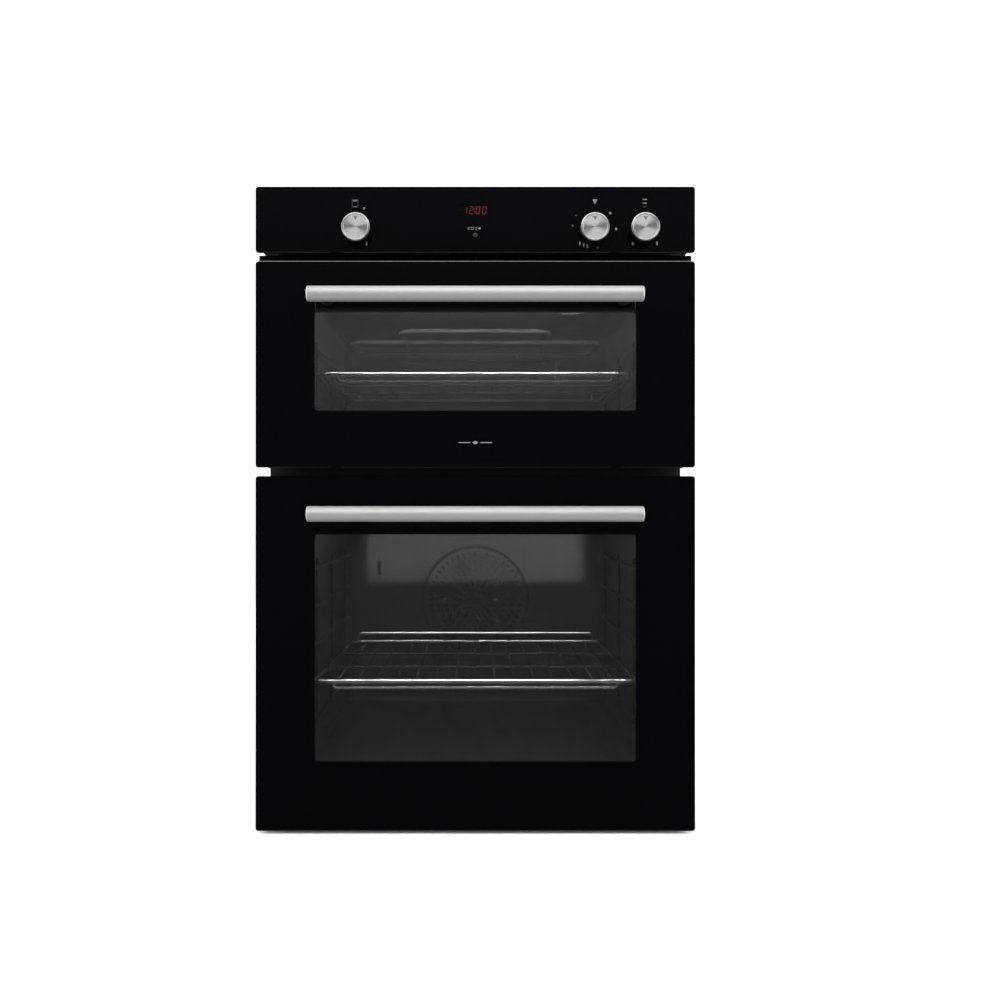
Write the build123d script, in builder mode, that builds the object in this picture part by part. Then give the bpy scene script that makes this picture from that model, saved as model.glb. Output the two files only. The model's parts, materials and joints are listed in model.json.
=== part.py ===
from build123d import *
import math
import os
from dataclasses import dataclass

# Built-in double wall oven. Millimetres, X to the right, the front faces -Y, Z up.
# The origin is the middle of the chassis underside.

# ---------------------------------------------------------------- driving dimensions
FRONT_WIDTH = 595.0
FRONT_Y = -314.0  # outer face of the door glass and of the control glass
FRAME_Y = -270.0  # face of the front frame, where the doors seal
REAR_Y = 270.0
BODY_HALF = 275.0  # outer face of the side panels
BODY_TOP = 865.0
SHEET = 1.0
GLASS = 4.0
CORNER = 4.0
RUNNING_FIT = 0.05
SEAL_GAP = 0.3
ASSEMBLY_GAP = 0.1  # play between sheets that nest in each other
INNER_HALF = BODY_HALF - SHEET - ASSEMBLY_GAP
INNER_REACH = -FRAME_Y - 2 * SHEET - 2 * ASSEMBLY_GAP

# Doors
DOOR_THICK = 40.0
FRAME_HALF = 288.0  # half width of the metal frame behind the wider door glass
FRAME_WALL = 2.0
TRIM_HEIGHT = 9.5
HINGE_RISE = 26.0  # hinge axis above the lower edge of the door
HINGE_Y = FRONT_Y + 15.0
HINGE_X = 247.0
PIN_R = 3.0
LEVER_THICK = 8.0
LEVER_R = 8.0
WINDOW_HALF = 217.5
WINDOW_MARGIN = 11.0  # the frame stands back from the clear part of the glass
HANDLE_LENGTH = 442.5
HANDLE_R = 10.2
HANDLE_Y = FRONT_Y - 32.0
POST_X = 200.0
POST_R = 7.0
STUD_R = 3.0

# Cavities
CAVITY_HALF = 237.0
CAVITY_BACK = 110.0
WALL_CORNER_R = 40.0
EDGE_R = 10.0
FLANGE = 12.0
GASKET_IN = 13.5
GASKET_OUT = 21.5
GLASS_BORDER = 23.5
WOOL = 20.0
WOOL_GAP = 0.5
WOOL_FRONT = -245.0
LAMP_X = 140.0
LAMP_Y = -215.0
LAMP_HOLE_R = 22.5

# Convection fan of the lower cavity
FAN_Z = 272.0
WELL_R = 97.0
WELL_DEPTH = 48.0
COVER_R = 100.0
COVER_RISE = 6.0
FAN_R = 66.0
RING_R = 84.0
TUBE_R = 3.25
GRILL_DROP = 14.0  # the higher grill loop hangs this far below the ceiling, clear of its rounded edge
GRILL_STEP = 8.0  # and the lower one this far below it
FAN_SHAFT_R = 4.0
RING_LEAD_X = 14.0
RING_LEAD_Z = FAN_Z - math.sqrt(RING_R**2 - RING_LEAD_X**2)

# Wire shelves and side racks
RAIL_R = 3.0
SHELF_HALF = 228.0
GRID_R = 1.6
GRID_PITCH = 28.0
GRID_COUNT = 15
RUNNER_R = 2.5
RUNNER_X = 230.8
RACK_POST_X = 234.3
RACK_POST_R = 2.0

# Control panel
PANEL_BOTTOM = 786.8
PANEL_TOP = 876.0
CARRIER_HALF = 292.0
CARRIER_BOTTOM = 790.0
CARRIER_TOP = 872.0
CARRIER_WALL = 2.5
KNOB_Z = 815.0
KNOBS = {"left": -159.2, "middle": 159.2, "right": 226.4}
KNOB_R = 19.0
KNOB_FRONT = FRONT_Y - 21.0
KNOB_BACK = FRONT_Y - 1.0
SPINDLE_R = 3.0
DISPLAY_Z = 836.0
BUTTON_Z = 810.0
BUTTON_R = 3.1
VENT_BOTTOM = 778.0
VENT_TOP = 786.5
VENT_HALF = 296.5
VENT_FRONT = -300.0

# Cooling blower between the upper cavity and the top cover
BLOWER_Y = 80.0
BLOWER_Z = 805.0
BLOWER_HALF = 110.0
BLOWER_BORE_R = 27.0
BLOWER_WALL = 1.5
ROTOR_R = 24.0
DUCT_HALF = 150.0
MOUTH_Y = 40.0

# Screws and mounting flanges
SCREW_X = 268.0
SCREW_R = 1.9
REAR_SCREW_HEIGHTS = (60.0, 300.0, 560.0, 800.0)
MOUNT_X = 285.0
MOUNT_HEIGHTS = (120.0, 640.0)
MOUNT_HOLE_R = 2.5


@dataclass
class Oven:
    """One of the two ovens: its door, its cavity and its shelf."""

    name: str
    door_bottom: float
    door_top: float
    window_bottom: float
    window_top: float
    handle_z: float
    floor: float
    ceiling: float
    shelf_z: float
    shelf_front: float
    shelf_rear: float
    rack_steps: tuple
    rack_pitch: float

    @property
    def hinge_z(self):
        return self.door_bottom + HINGE_RISE

    @property
    def frame_bottom(self):
        return self.door_bottom + 1.0

    @property
    def frame_top(self):
        return self.door_top - TRIM_HEIGHT - 0.5

    @property
    def door_middle(self):
        return (self.door_bottom + self.door_top) / 2

    @property
    def opening_middle(self):
        return (self.floor + self.ceiling) / 2

    @property
    def opening_height(self):
        return self.ceiling - self.floor


LOWER = Oven(
    name="lower",
    door_bottom=4.0,
    door_top=484.3,
    window_bottom=97.5,
    window_top=405.4,
    handle_z=433.3,
    floor=84.0,
    ceiling=429.0,
    shelf_z=196.0,
    shelf_front=-262.0,
    shelf_rear=93.0,
    rack_steps=(-1, 0, 1, 2, 3),
    rack_pitch=55.0,
)
UPPER = Oven(
    name="upper",
    door_bottom=495.8,
    door_top=774.8,
    window_bottom=572.9,
    window_top=706.0,
    handle_z=722.7,
    floor=564.0,
    ceiling=738.0,
    shelf_z=638.0,
    shelf_front=-212.0,
    shelf_rear=93.0,
    rack_steps=(-1, 0, 1),
    rack_pitch=40.0,
)
OVENS = (LOWER, UPPER)

os.makedirs("parts", exist_ok=True)


# ---------------------------------------------------------------- helpers
def write_piece(piece, name):
    """Label one finished piece and write it as its own STEP file."""
    piece.label = name
    export_step(piece, f"parts/{name}.step")


def at_depth(y):
    """Sketch plane at depth y that faces the front: local axes are X and Z."""
    return Plane.XZ.offset(-y)


def at_side(x):
    """Sketch plane at x that faces the right: local axes are Y and Z."""
    return Plane.YZ.offset(x)


def at_height(z):
    """Sketch plane at height z that faces up: local axes are X and Y."""
    return Plane.XY.offset(z)


def block(x_span, y_span, z_span, mode=Mode.ADD):
    """Box between two values on each axis, for the part being built."""
    spans = (x_span, y_span, z_span)
    middle = [(low + high) / 2 for low, high in spans]
    sizes = [high - low for low, high in spans]
    with Locations(tuple(middle)):
        Box(*sizes, mode=mode)


def rod(start, end, radius, mode=Mode.ADD):
    """Round rod between two points, for the part being built."""
    axis = Vector(*end) - Vector(*start)
    with Locations(Plane(origin=start, z_dir=axis).location):
        Cylinder(radius, axis.length, align=(Align.CENTER, Align.CENTER, Align.MIN), mode=mode)


def bent_wire(points, bend, radius, close=False):
    """Wire of round section along a polyline with rounded bends."""
    with BuildPart() as wire:
        with BuildLine() as route:
            FilletPolyline(*points, radius=bend, close=close)
        with BuildSketch(Plane(origin=route.line @ 0, z_dir=route.line % 0)):
            Circle(radius)
        sweep(path=route.line)
    return wire.part


# ---------------------------------------------------------------- chassis sheets
def make_base_pan():
    """Flat-bottomed tray with an upright rim and three stiffening ribs."""
    rim_top = 16.0
    rib_half = 8.0
    rib_end = INNER_HALF - 20.0
    with BuildPart() as base_pan:
        block((-INNER_HALF, INNER_HALF), (-INNER_REACH, INNER_REACH), (0, rim_top))
        fillet(base_pan.edges().filter_by(Axis.Z), 1.5)
        block(
            (-INNER_HALF + SHEET, INNER_HALF - SHEET),
            (-INNER_REACH + SHEET, INNER_REACH - SHEET),
            (SHEET, rim_top),
            mode=Mode.SUBTRACT,
        )
        for y in (-150.0, 0.0, 150.0):
            block((-rib_end, rib_end), (y - rib_half, y + rib_half), (SHEET, 2.5 * SHEET))
    write_piece(base_pan.part, "base_pan")


def make_side_panel(name, side):
    """Folded side sheet with flanges behind the front frame and the rear panel."""
    fold = 14.0
    inner = BODY_HALF - SHEET
    front = FRAME_Y + SHEET
    rear = REAR_Y - SHEET
    louvre_heights = [500 + 22 * step for step in range(14)]
    with BuildPart() as panel:
        with BuildSketch(at_height(0)):
            with Locations((side * (BODY_HALF + inner) / 2, (front + rear) / 2)):
                Rectangle(SHEET, rear - front)
            for y in (front + SHEET / 2, rear - SHEET / 2):
                with Locations((side * (BODY_HALF - fold / 2), y)):
                    Rectangle(fold, SHEET)
        extrude(amount=BODY_TOP)
        with BuildSketch(at_side(side * (BODY_HALF + 1))):
            with Locations(*[(190, z) for z in louvre_heights]):
                SlotOverall(70, 5)
        extrude(amount=-4 * side, mode=Mode.SUBTRACT)
        with BuildSketch(at_depth(rear + 1)):
            with Locations(*[(side * SCREW_X, z) for z in REAR_SCREW_HEIGHTS]):
                Circle(SCREW_R + 0.1)
        extrude(amount=4, mode=Mode.SUBTRACT)
    write_piece(panel.part, name)


def make_rear_panel():
    """Rear sheet with two fields of cooling slots and the screw holes."""
    with BuildPart() as rear_panel:
        with BuildSketch(at_depth(REAR_Y)):
            with Locations((0, BODY_TOP / 2)):
                RectangleRounded(2 * BODY_HALF, BODY_TOP, 2)
            for field_z in (480.0, 790.0):
                with Locations((0, field_z)):
                    with GridLocations(20, 0, 20, 1):
                        SlotOverall(50, 7, rotation=90, mode=Mode.SUBTRACT)
            for side in (-1, 1):
                with Locations(*[(side * SCREW_X, z) for z in REAR_SCREW_HEIGHTS]):
                    Circle(SCREW_R + 0.1, mode=Mode.SUBTRACT)
        extrude(amount=SHEET)
        with BuildSketch(at_depth(REAR_Y)):
            with Locations((0, 272)):
                RectangleRounded(300, 260, 20)
                RectangleRounded(290, 250, 16, mode=Mode.SUBTRACT)
        extrude(amount=-1.5)
    write_piece(rear_panel.part, "rear_panel")


def make_top_cover():
    """Top sheet with side lips, a slotted field at the rear and a pressed panel."""
    lip = 12.0
    with BuildPart() as top_cover:
        block((-INNER_HALF, INNER_HALF), (-INNER_REACH, INNER_REACH), (BODY_TOP - SHEET, BODY_TOP))
        for side in (-1, 1):
            edges = sorted((side * INNER_HALF, side * (INNER_HALF - SHEET)))
            block(edges, (-INNER_REACH, INNER_REACH), (BODY_TOP - lip, BODY_TOP))
        with BuildSketch(at_height(BODY_TOP - 5)):
            with Locations((0, 150)):
                with GridLocations(22, 60, 18, 3):
                    SlotOverall(46, 6, rotation=90)
        extrude(amount=10, mode=Mode.SUBTRACT)
        with BuildSketch(at_height(BODY_TOP)):
            with Locations((0, -110)):
                RectangleRounded(460, 220, 12)
                RectangleRounded(448, 208, 8, mode=Mode.SUBTRACT)
        extrude(amount=1.0)
    write_piece(top_cover.part, "top_cover")


def make_front_frame():
    """Flat sheet around both cavities, with slots for the hinge levers."""
    gap = SHEET + 0.3
    with BuildPart() as front_frame:
        with BuildSketch(at_depth(FRAME_Y + SHEET)):
            with Locations((0, BODY_TOP / 2)):
                RectangleRounded(2 * BODY_HALF, BODY_TOP, 2)
            for oven in OVENS:
                with Locations((0, oven.opening_middle)):
                    RectangleRounded(
                        2 * (CAVITY_HALF + gap),
                        oven.opening_height + 2 * gap,
                        EDGE_R + gap,
                        mode=Mode.SUBTRACT,
                    )
                with Locations((-HINGE_X, oven.hinge_z), (HINGE_X, oven.hinge_z)):
                    Rectangle(LEVER_THICK + 2, 2 * LEVER_R + 4, mode=Mode.SUBTRACT)
            with Locations((0, (PANEL_BOTTOM + BODY_TOP) / 2 + 4)):
                RectangleRounded(520, 54, 6, mode=Mode.SUBTRACT)
            with Locations((0, (VENT_BOTTOM + VENT_TOP) / 2)):
                Rectangle(2 * DUCT_HALF - 4, 6, mode=Mode.SUBTRACT)
        extrude(amount=SHEET)
    write_piece(front_frame.part, "front_frame")


def make_mounting_flange(name, side):
    """Angle beside the frame: it is screwed to the cabinet and cleared at the door gap."""
    reach = 292.0
    back = FRAME_Y + 6.0
    leg = 30.0
    bottom = 20.0
    top = 765.0
    notch_start = reach - 3.0
    gap_bottom = LOWER.door_top - 1.0
    gap_top = UPPER.door_bottom + 1.0
    with BuildPart() as flange:
        with BuildSketch(at_height(bottom)):
            with Locations((side * (BODY_HALF + SHEET / 2), back + leg / 2)):
                Rectangle(SHEET, leg)
            with Locations((side * (BODY_HALF + reach) / 2, back - SHEET / 2)):
                Rectangle(reach - BODY_HALF, SHEET)
        extrude(amount=top - bottom)
        notch = sorted((side * notch_start, side * (reach + 1)))
        block(notch, (back - 5, back + 5), (gap_bottom, gap_top), mode=Mode.SUBTRACT)
        with BuildSketch(at_depth(back + 1)):
            with Locations(*[(side * MOUNT_X, z) for z in MOUNT_HEIGHTS]):
                Circle(MOUNT_HOLE_R)
        extrude(amount=4, mode=Mode.SUBTRACT)
    write_piece(flange.part, name)


def make_chassis_screws():
    """Pan-head screws that hold the rear panel to the side panels."""
    head_r = 4.0
    with BuildPart() as screws:
        for side in (-1, 1):
            for z in REAR_SCREW_HEIGHTS:
                rod((side * SCREW_X, REAR_Y - 9, z), (side * SCREW_X, REAR_Y, z), SCREW_R)
                rod((side * SCREW_X, REAR_Y, z), (side * SCREW_X, REAR_Y + 2.2, z), head_r)
        fillet(screws.edges().group_by(Axis.Y)[-1], 1.2)
        with BuildSketch(at_depth(REAR_Y + 3)):
            for side in (-1, 1):
                with Locations(*[(side * SCREW_X, z) for z in REAR_SCREW_HEIGHTS]):
                    Rectangle(4.4, 0.9)
                    Rectangle(0.9, 4.4)
        extrude(amount=1.8, mode=Mode.SUBTRACT)
    write_piece(screws.part, "chassis_screws")


# ---------------------------------------------------------------- cavities
def cavity_block(oven, grow, front=FRAME_Y):
    """Solid that fills a cavity, grown on all sides but the open front."""
    half = CAVITY_HALF + grow
    back = CAVITY_BACK + grow
    with BuildPart() as filled:
        with BuildSketch(at_height(oven.floor - grow)) as plan:
            with Locations((0, (front + back) / 2)):
                Rectangle(2 * half, back - front)
            fillet(plan.vertices().group_by(Axis.Y)[-1], WALL_CORNER_R + grow)
        extrude(amount=oven.opening_height + 2 * grow)
        rims = filled.edges().group_by(Axis.Z)
        fillet(rims[0].sort_by(Axis.Y)[1:] + rims[-1].sort_by(Axis.Y)[1:], EDGE_R + grow)
    return filled.part


def make_cavity(oven, has_fan):
    """Enamelled box with a front flange; the lower one has a round fan well."""
    well_back = CAVITY_BACK + WELL_DEPTH
    centre = (0, FAN_Z)
    shell = cavity_block(oven, SHEET)
    hollow = cavity_block(oven, 0)
    with BuildPart() as cavity:
        add(shell)
        if has_fan:
            with BuildSketch(at_depth(well_back + SHEET)):
                with Locations(centre):
                    Circle(WELL_R + SHEET)
            extrude(amount=WELL_DEPTH + SHEET)
        add(hollow, mode=Mode.SUBTRACT)
        if has_fan:
            with BuildSketch(at_depth(well_back)):
                with Locations(centre):
                    Circle(WELL_R)
            extrude(amount=WELL_DEPTH + 2, mode=Mode.SUBTRACT)
            with BuildSketch(at_depth(well_back + 2 * SHEET)):
                with Locations(centre):
                    Circle(FAN_SHAFT_R + 2)
                for side in (-1, 1):
                    with Locations((side * RING_LEAD_X, RING_LEAD_Z)):
                        Circle(TUBE_R + 0.6)
            extrude(amount=4 * SHEET, mode=Mode.SUBTRACT)
        with BuildSketch(at_depth(FRAME_Y)):
            with Locations((0, oven.opening_middle)):
                RectangleRounded(
                    2 * (CAVITY_HALF + FLANGE), oven.opening_height + 2 * FLANGE, EDGE_R + FLANGE
                )
                RectangleRounded(2 * CAVITY_HALF, oven.opening_height, EDGE_R, mode=Mode.SUBTRACT)
        extrude(amount=SHEET)
        with BuildSketch(at_height(oven.ceiling - 5)):
            with Locations((LAMP_X, LAMP_Y)):
                Circle(LAMP_HOLE_R)
        extrude(amount=10, mode=Mode.SUBTRACT)
    write_piece(cavity.part, f"{oven.name}_cavity")


def make_insulation(oven, has_fan):
    """Mineral wool around the cavity, open at the front, the lamp and the fan well."""
    outside = cavity_block(oven, SHEET + WOOL_GAP + WOOL, front=WOOL_FRONT)
    inside = cavity_block(oven, SHEET + WOOL_GAP, front=WOOL_FRONT - 1)
    with BuildPart() as insulation:
        add(outside)
        add(inside, mode=Mode.SUBTRACT)
        with BuildSketch(at_height(oven.ceiling)):
            with Locations((LAMP_X, LAMP_Y)):
                Circle(LAMP_HOLE_R + 12)
        extrude(amount=2 * WOOL, mode=Mode.SUBTRACT)
        if has_fan:
            with BuildSketch(at_depth(CAVITY_BACK + 2 * WOOL)):
                with Locations((0, FAN_Z)):
                    Circle(WELL_R + SHEET + WOOL_GAP)
            extrude(amount=2 * WOOL, mode=Mode.SUBTRACT)
        else:
            with BuildSketch(at_depth(CAVITY_BACK + 2 * WOOL)):
                with Locations((0, oven.ceiling - GRILL_DROP - GRILL_STEP / 2)):
                    Rectangle(260, 22)
            extrude(amount=2 * WOOL, mode=Mode.SUBTRACT)
    write_piece(insulation.part, f"{oven.name}_insulation")


def make_gasket(oven):
    """Silicone door seal around the flange of the cavity."""
    front = FRONT_Y + DOOR_THICK + SEAL_GAP
    lip = FRAME_Y - front
    with BuildPart() as gasket:
        with BuildSketch(at_depth(FRAME_Y)):
            with Locations((0, oven.opening_middle)):
                for border, mode in ((GASKET_OUT, Mode.ADD), (GASKET_IN, Mode.SUBTRACT)):
                    RectangleRounded(
                        2 * (CAVITY_HALF + border),
                        oven.opening_height + 2 * border,
                        EDGE_R + border,
                        mode=mode,
                    )
        extrude(amount=lip)
        fillet(gasket.edges().group_by(Axis.Y)[0], 1.6)
    write_piece(gasket.part, f"{oven.name}_gasket")


def make_side_racks(oven):
    """Wire runners on both side walls: a left rack and a right rack."""
    shelf_runner = oven.shelf_z - RAIL_R - SEAL_GAP - RUNNER_R
    levels = [shelf_runner + step * oven.rack_pitch for step in oven.rack_steps]
    front = FRAME_Y + 18.0
    rear = CAVITY_BACK - WALL_CORNER_R + 8.0
    post_depths = (front + 45.0, -80.0, rear - 10.0)
    with BuildPart() as racks:
        for side in (-1, 1):
            for z in levels:
                rod((side * RUNNER_X, front, z), (side * RUNNER_X, rear, z), RUNNER_R)
            for y in post_depths:
                rod(
                    (side * RACK_POST_X, y, levels[0] - 12),
                    (side * RACK_POST_X, y, levels[-1] + 12),
                    RACK_POST_R,
                )
    write_piece(racks.part, f"{oven.name}_side_racks")


def make_shelf(oven):
    """Chromed wire shelf: outer rail, grid wires, raised rear stop and dropped front bar."""
    z = oven.shelf_z
    corners = (
        (-SHELF_HALF, oven.shelf_front, z),
        (SHELF_HALF, oven.shelf_front, z),
        (SHELF_HALF, oven.shelf_rear, z),
        (-SHELF_HALF, oven.shelf_rear, z),
    )
    rear_stop = (
        (-SHELF_HALF + 14, oven.shelf_rear, z),
        (-SHELF_HALF + 14, oven.shelf_rear, z + 15),
        (SHELF_HALF - 14, oven.shelf_rear, z + 15),
        (SHELF_HALF - 14, oven.shelf_rear, z),
    )
    front_bar = (
        (-SHELF_HALF + 25, oven.shelf_front + 5, z),
        (-SHELF_HALF + 25, oven.shelf_front + 5, z - 10),
        (SHELF_HALF - 25, oven.shelf_front + 5, z - 10),
        (SHELF_HALF - 25, oven.shelf_front + 5, z),
    )
    outer_rail = bent_wire(corners, 9.0, RAIL_R, close=True)
    stop_rail = bent_wire(rear_stop, 7.0, 2.5)
    drop_rail = bent_wire(front_bar, 7.0, 2.5)
    depth = oven.shelf_rear - oven.shelf_front
    with BuildPart() as shelf:
        add(outer_rail)
        add(stop_rail)
        add(drop_rail)
        for index in range(GRID_COUNT):
            x = (index - (GRID_COUNT - 1) / 2) * GRID_PITCH
            rod((x, oven.shelf_front, z + 1), (x, oven.shelf_rear, z + 1), GRID_R)
        for part_way in (1 / 3, 2 / 3):
            y = oven.shelf_front + part_way * depth
            rod((-SHELF_HALF, y, z - 1.2), (SHELF_HALF, y, z - 1.2), 2.2)
    write_piece(shelf.part, f"{oven.name}_shelf")


def make_sensor(oven, x, low, high):
    """Temperature probe: a slim rod held off the rear wall by two clips."""
    y = CAVITY_BACK - 6.0
    with BuildPart() as sensor:
        rod((x, y, low), (x, y, high), 2.6)
        for z in (low + 5, high - 5):
            rod((x, y, z), (x, CAVITY_BACK, z), 1.5)
    write_piece(sensor.part, f"{oven.name}_sensor")


def lamp_rod(bottom, top, radius, mode=Mode.ADD):
    rod((LAMP_X, LAMP_Y, bottom), (LAMP_X, LAMP_Y, top), radius, mode=mode)


def make_lamps():
    """Halogen lamp cups above each ceiling and their glass lenses below it."""
    with BuildPart() as lamp_holders:
        for oven in OVENS:
            top = oven.ceiling + SHEET
            lamp_rod(top, top + 2, LAMP_HOLE_R + 7)
            lamp_rod(top, top + 34, LAMP_HOLE_R)
            lamp_rod(top, top + 32, LAMP_HOLE_R - 2, mode=Mode.SUBTRACT)
    write_piece(lamp_holders.part, "lamp_holders")
    with BuildPart() as lamp_lenses:
        for oven in reversed(OVENS):
            ceiling = oven.ceiling
            lamp_rod(ceiling - 2, ceiling, LAMP_HOLE_R + 4)
            lamp_rod(ceiling - 9, ceiling - 2, LAMP_HOLE_R - 3)
            fillet(lamp_lenses.edges().filter_by(GeomType.CIRCLE).group_by(Axis.Z)[0], 3.0)
            lamp_rod(ceiling - 7, ceiling + 3, LAMP_HOLE_R - 6, mode=Mode.SUBTRACT)
    write_piece(lamp_lenses.part, "lamp_lenses")


# ---------------------------------------------------------------- heating elements and fan
def make_grill_element():
    """Long narrow loop over a short wide one under the upper ceiling, on one end block."""
    tail_y = CAVITY_BACK - 8.0
    high_z = UPPER.ceiling - GRILL_DROP
    low_z = high_z - GRILL_STEP
    long_half, long_front = 120.0, -107.0
    wide_half, wide_front, wide_rear, neck_half = 205.0, -55.0, 60.0, 80.0
    long_loop = bent_wire(
        (
            (-long_half, tail_y, high_z),
            (-long_half, long_front, high_z),
            (long_half, long_front, high_z),
            (long_half, tail_y, high_z),
        ),
        22.0,
        TUBE_R,
    )
    wide_loop = bent_wire(
        (
            (-neck_half, tail_y, low_z),
            (-neck_half, wide_rear, low_z),
            (-wide_half, wide_rear, low_z),
            (-wide_half, wide_front, low_z),
            (wide_half, wide_front, low_z),
            (wide_half, wide_rear, low_z),
            (neck_half, wide_rear, low_z),
            (neck_half, tail_y, low_z),
        ),
        18.0,
        TUBE_R,
    )
    end_half = long_half + 2 * TUBE_R
    with BuildPart() as grill_element:
        add(long_loop)
        add(wide_loop)
        block((-end_half, end_half), (tail_y, CAVITY_BACK), (low_z - TUBE_R, high_z + TUBE_R))
    write_piece(grill_element.part, "grill_element")


def make_ring_element():
    """Ring heater around the convection fan, with two leads through the well."""
    ring_y = CAVITY_BACK + 26.0
    lead_end = CAVITY_BACK + WELL_DEPTH + 12.0
    with BuildPart() as ring_element:
        with Locations(Plane(origin=(0, ring_y, FAN_Z), z_dir=(0, -1, 0)).location):
            Torus(RING_R, TUBE_R)
        for side in (-1, 1):
            x = side * RING_LEAD_X
            rod((x, ring_y, RING_LEAD_Z), (x, lead_end, RING_LEAD_Z), TUBE_R - 0.6)
    write_piece(ring_element.part, "ring_element")


def make_fan_cover():
    """Dished disc in front of the fan with three rings of slots and a centre grille."""
    face = CAVITY_BACK - COVER_RISE
    slot_rings = ((83.0, 48, 9.0), (69.0, 40, 9.0), (55.0, 32, 9.0))
    screw_ring_r = 92.0
    with BuildPart() as fan_cover:
        with BuildSketch(Plane.XY.offset(FAN_Z)):
            with BuildLine():
                Polyline(
                    (0, face),
                    (COVER_R - 6, face),
                    (COVER_R, CAVITY_BACK - SHEET),
                    (COVER_R, CAVITY_BACK),
                    (COVER_R - 1.5, CAVITY_BACK),
                    (COVER_R - 6.8, face + SHEET),
                    (0, face + SHEET),
                    close=True,
                )
            make_face()
        revolve(axis=Axis((0, 0, FAN_Z), (0, 1, 0)), revolution_arc=360)
        with BuildSketch(Plane(origin=(0, face + 3, FAN_Z), x_dir=(1, 0, 0), z_dir=(0, -1, 0))):
            for ring_r, count, length in slot_rings:
                with PolarLocations(ring_r, count):
                    SlotOverall(length, 3.2)
            with PolarLocations(33.0, 18):
                SlotOverall(16.0, 3.2)
            with PolarLocations(screw_ring_r, 4, start_angle=45):
                Circle(1.8)
        extrude(amount=6, mode=Mode.SUBTRACT)
    write_piece(fan_cover.part, "fan_cover")


def make_oven_fan():
    """Radial impeller: back disc, bent blades, hub and the shaft into the motor."""
    disc_y = CAVITY_BACK + 36.0
    blade_depth = 20.0
    blade_count = 14
    with BuildPart() as oven_fan:
        with BuildSketch(at_depth(disc_y + 1.5)):
            with Locations((0, FAN_Z)):
                Circle(FAN_R)
        extrude(amount=1.5)
        with BuildSketch(Plane(origin=(0, disc_y, FAN_Z), x_dir=(1, 0, 0), z_dir=(0, -1, 0))):
            with PolarLocations(FAN_R - 18, blade_count):
                Rectangle(30, 1.4, rotation=20)
            Circle(10)
        extrude(amount=blade_depth)
        rod((0, disc_y - blade_depth - 4, FAN_Z), (0, disc_y + 42, FAN_Z), FAN_SHAFT_R)
    write_piece(oven_fan.part, "oven_fan")


def make_fan_motor():
    """Shaded-pole motor on a plate behind the fan well."""
    plate_y = CAVITY_BACK + WELL_DEPTH + SHEET
    body_end = plate_y + 46.0
    with BuildPart() as fan_motor:
        with BuildSketch(at_depth(plate_y + 2)):
            with Locations((0, FAN_Z)):
                RectangleRounded(96, 96, 8)
            for side in (-1, 1):
                with Locations((side * RING_LEAD_X, RING_LEAD_Z)):
                    Circle(TUBE_R + 2, mode=Mode.SUBTRACT)
        extrude(amount=2)
        rod((0, plate_y, FAN_Z), (0, body_end, FAN_Z), 34)
        block((-42, 42), (plate_y + 12, body_end - 10), (FAN_Z - 26, FAN_Z + 26))
        rod((0, body_end, FAN_Z), (0, body_end + 7, FAN_Z), 11)
        bore_r = FAN_SHAFT_R + RUNNING_FIT
        rod((0, plate_y - 1, FAN_Z), (0, plate_y + 30, FAN_Z), bore_r, mode=Mode.SUBTRACT)
    write_piece(fan_motor.part, "fan_motor")


# ---------------------------------------------------------------- cooling air
def make_blower_housing():
    """Scroll around the long rotor with a flat mouth towards the duct."""
    outer_r = BLOWER_BORE_R + BLOWER_WALL
    low = BLOWER_Z - outer_r
    mouth_top = low + 12.0
    inner_half = BLOWER_HALF - BLOWER_WALL
    with BuildPart() as blower_housing:
        with BuildSketch(at_side(-BLOWER_HALF)):
            with Locations((BLOWER_Y, BLOWER_Z)):
                Circle(outer_r)
            with Locations(((MOUTH_Y + BLOWER_Y) / 2, (low + mouth_top) / 2)):
                Rectangle(BLOWER_Y - MOUTH_Y, mouth_top - low)
        extrude(amount=2 * BLOWER_HALF)
        with BuildSketch(at_side(-inner_half)):
            with Locations((BLOWER_Y, BLOWER_Z)):
                Circle(BLOWER_BORE_R)
            with Locations(((MOUTH_Y - 1 + BLOWER_Y) / 2, (low + mouth_top) / 2)):
                Rectangle(BLOWER_Y - MOUTH_Y + 1, mouth_top - low - 2 * BLOWER_WALL)
        extrude(amount=2 * inner_half, mode=Mode.SUBTRACT)
        block(
            (-inner_half, inner_half),
            (BLOWER_Y + 2, BLOWER_Y + outer_r + 1),
            (BLOWER_Z + 2, BLOWER_Z + outer_r + 1),
            mode=Mode.SUBTRACT,
        )
        rod(
            (-BLOWER_HALF - 1, BLOWER_Y, BLOWER_Z),
            (BLOWER_HALF + 1, BLOWER_Y, BLOWER_Z),
            SPINDLE_R + RUNNING_FIT,
            mode=Mode.SUBTRACT,
        )
    write_piece(blower_housing.part, "blower_housing")


def make_blower_rotor():
    """Cross-flow rotor: three discs, a ring of curved blades and the shaft."""
    disc = 2.0
    half = BLOWER_HALF - BLOWER_WALL - 3.0
    blade_count = 22
    with BuildPart() as blower_rotor:
        for x in (-half, -disc / 2, half - disc):
            rod((x, BLOWER_Y, BLOWER_Z), (x + disc, BLOWER_Y, BLOWER_Z), ROTOR_R)
        with BuildSketch(Plane(origin=(-half, BLOWER_Y, BLOWER_Z), x_dir=(0, 1, 0), z_dir=(1, 0, 0))):
            with PolarLocations(ROTOR_R - 3.4, blade_count):
                Rectangle(6.0, 1.0, rotation=35)
        extrude(amount=2 * half)
        rod((-BLOWER_HALF - 2, BLOWER_Y, BLOWER_Z), (BLOWER_HALF + 14, BLOWER_Y, BLOWER_Z), SPINDLE_R)
    write_piece(blower_rotor.part, "blower_rotor")


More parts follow.
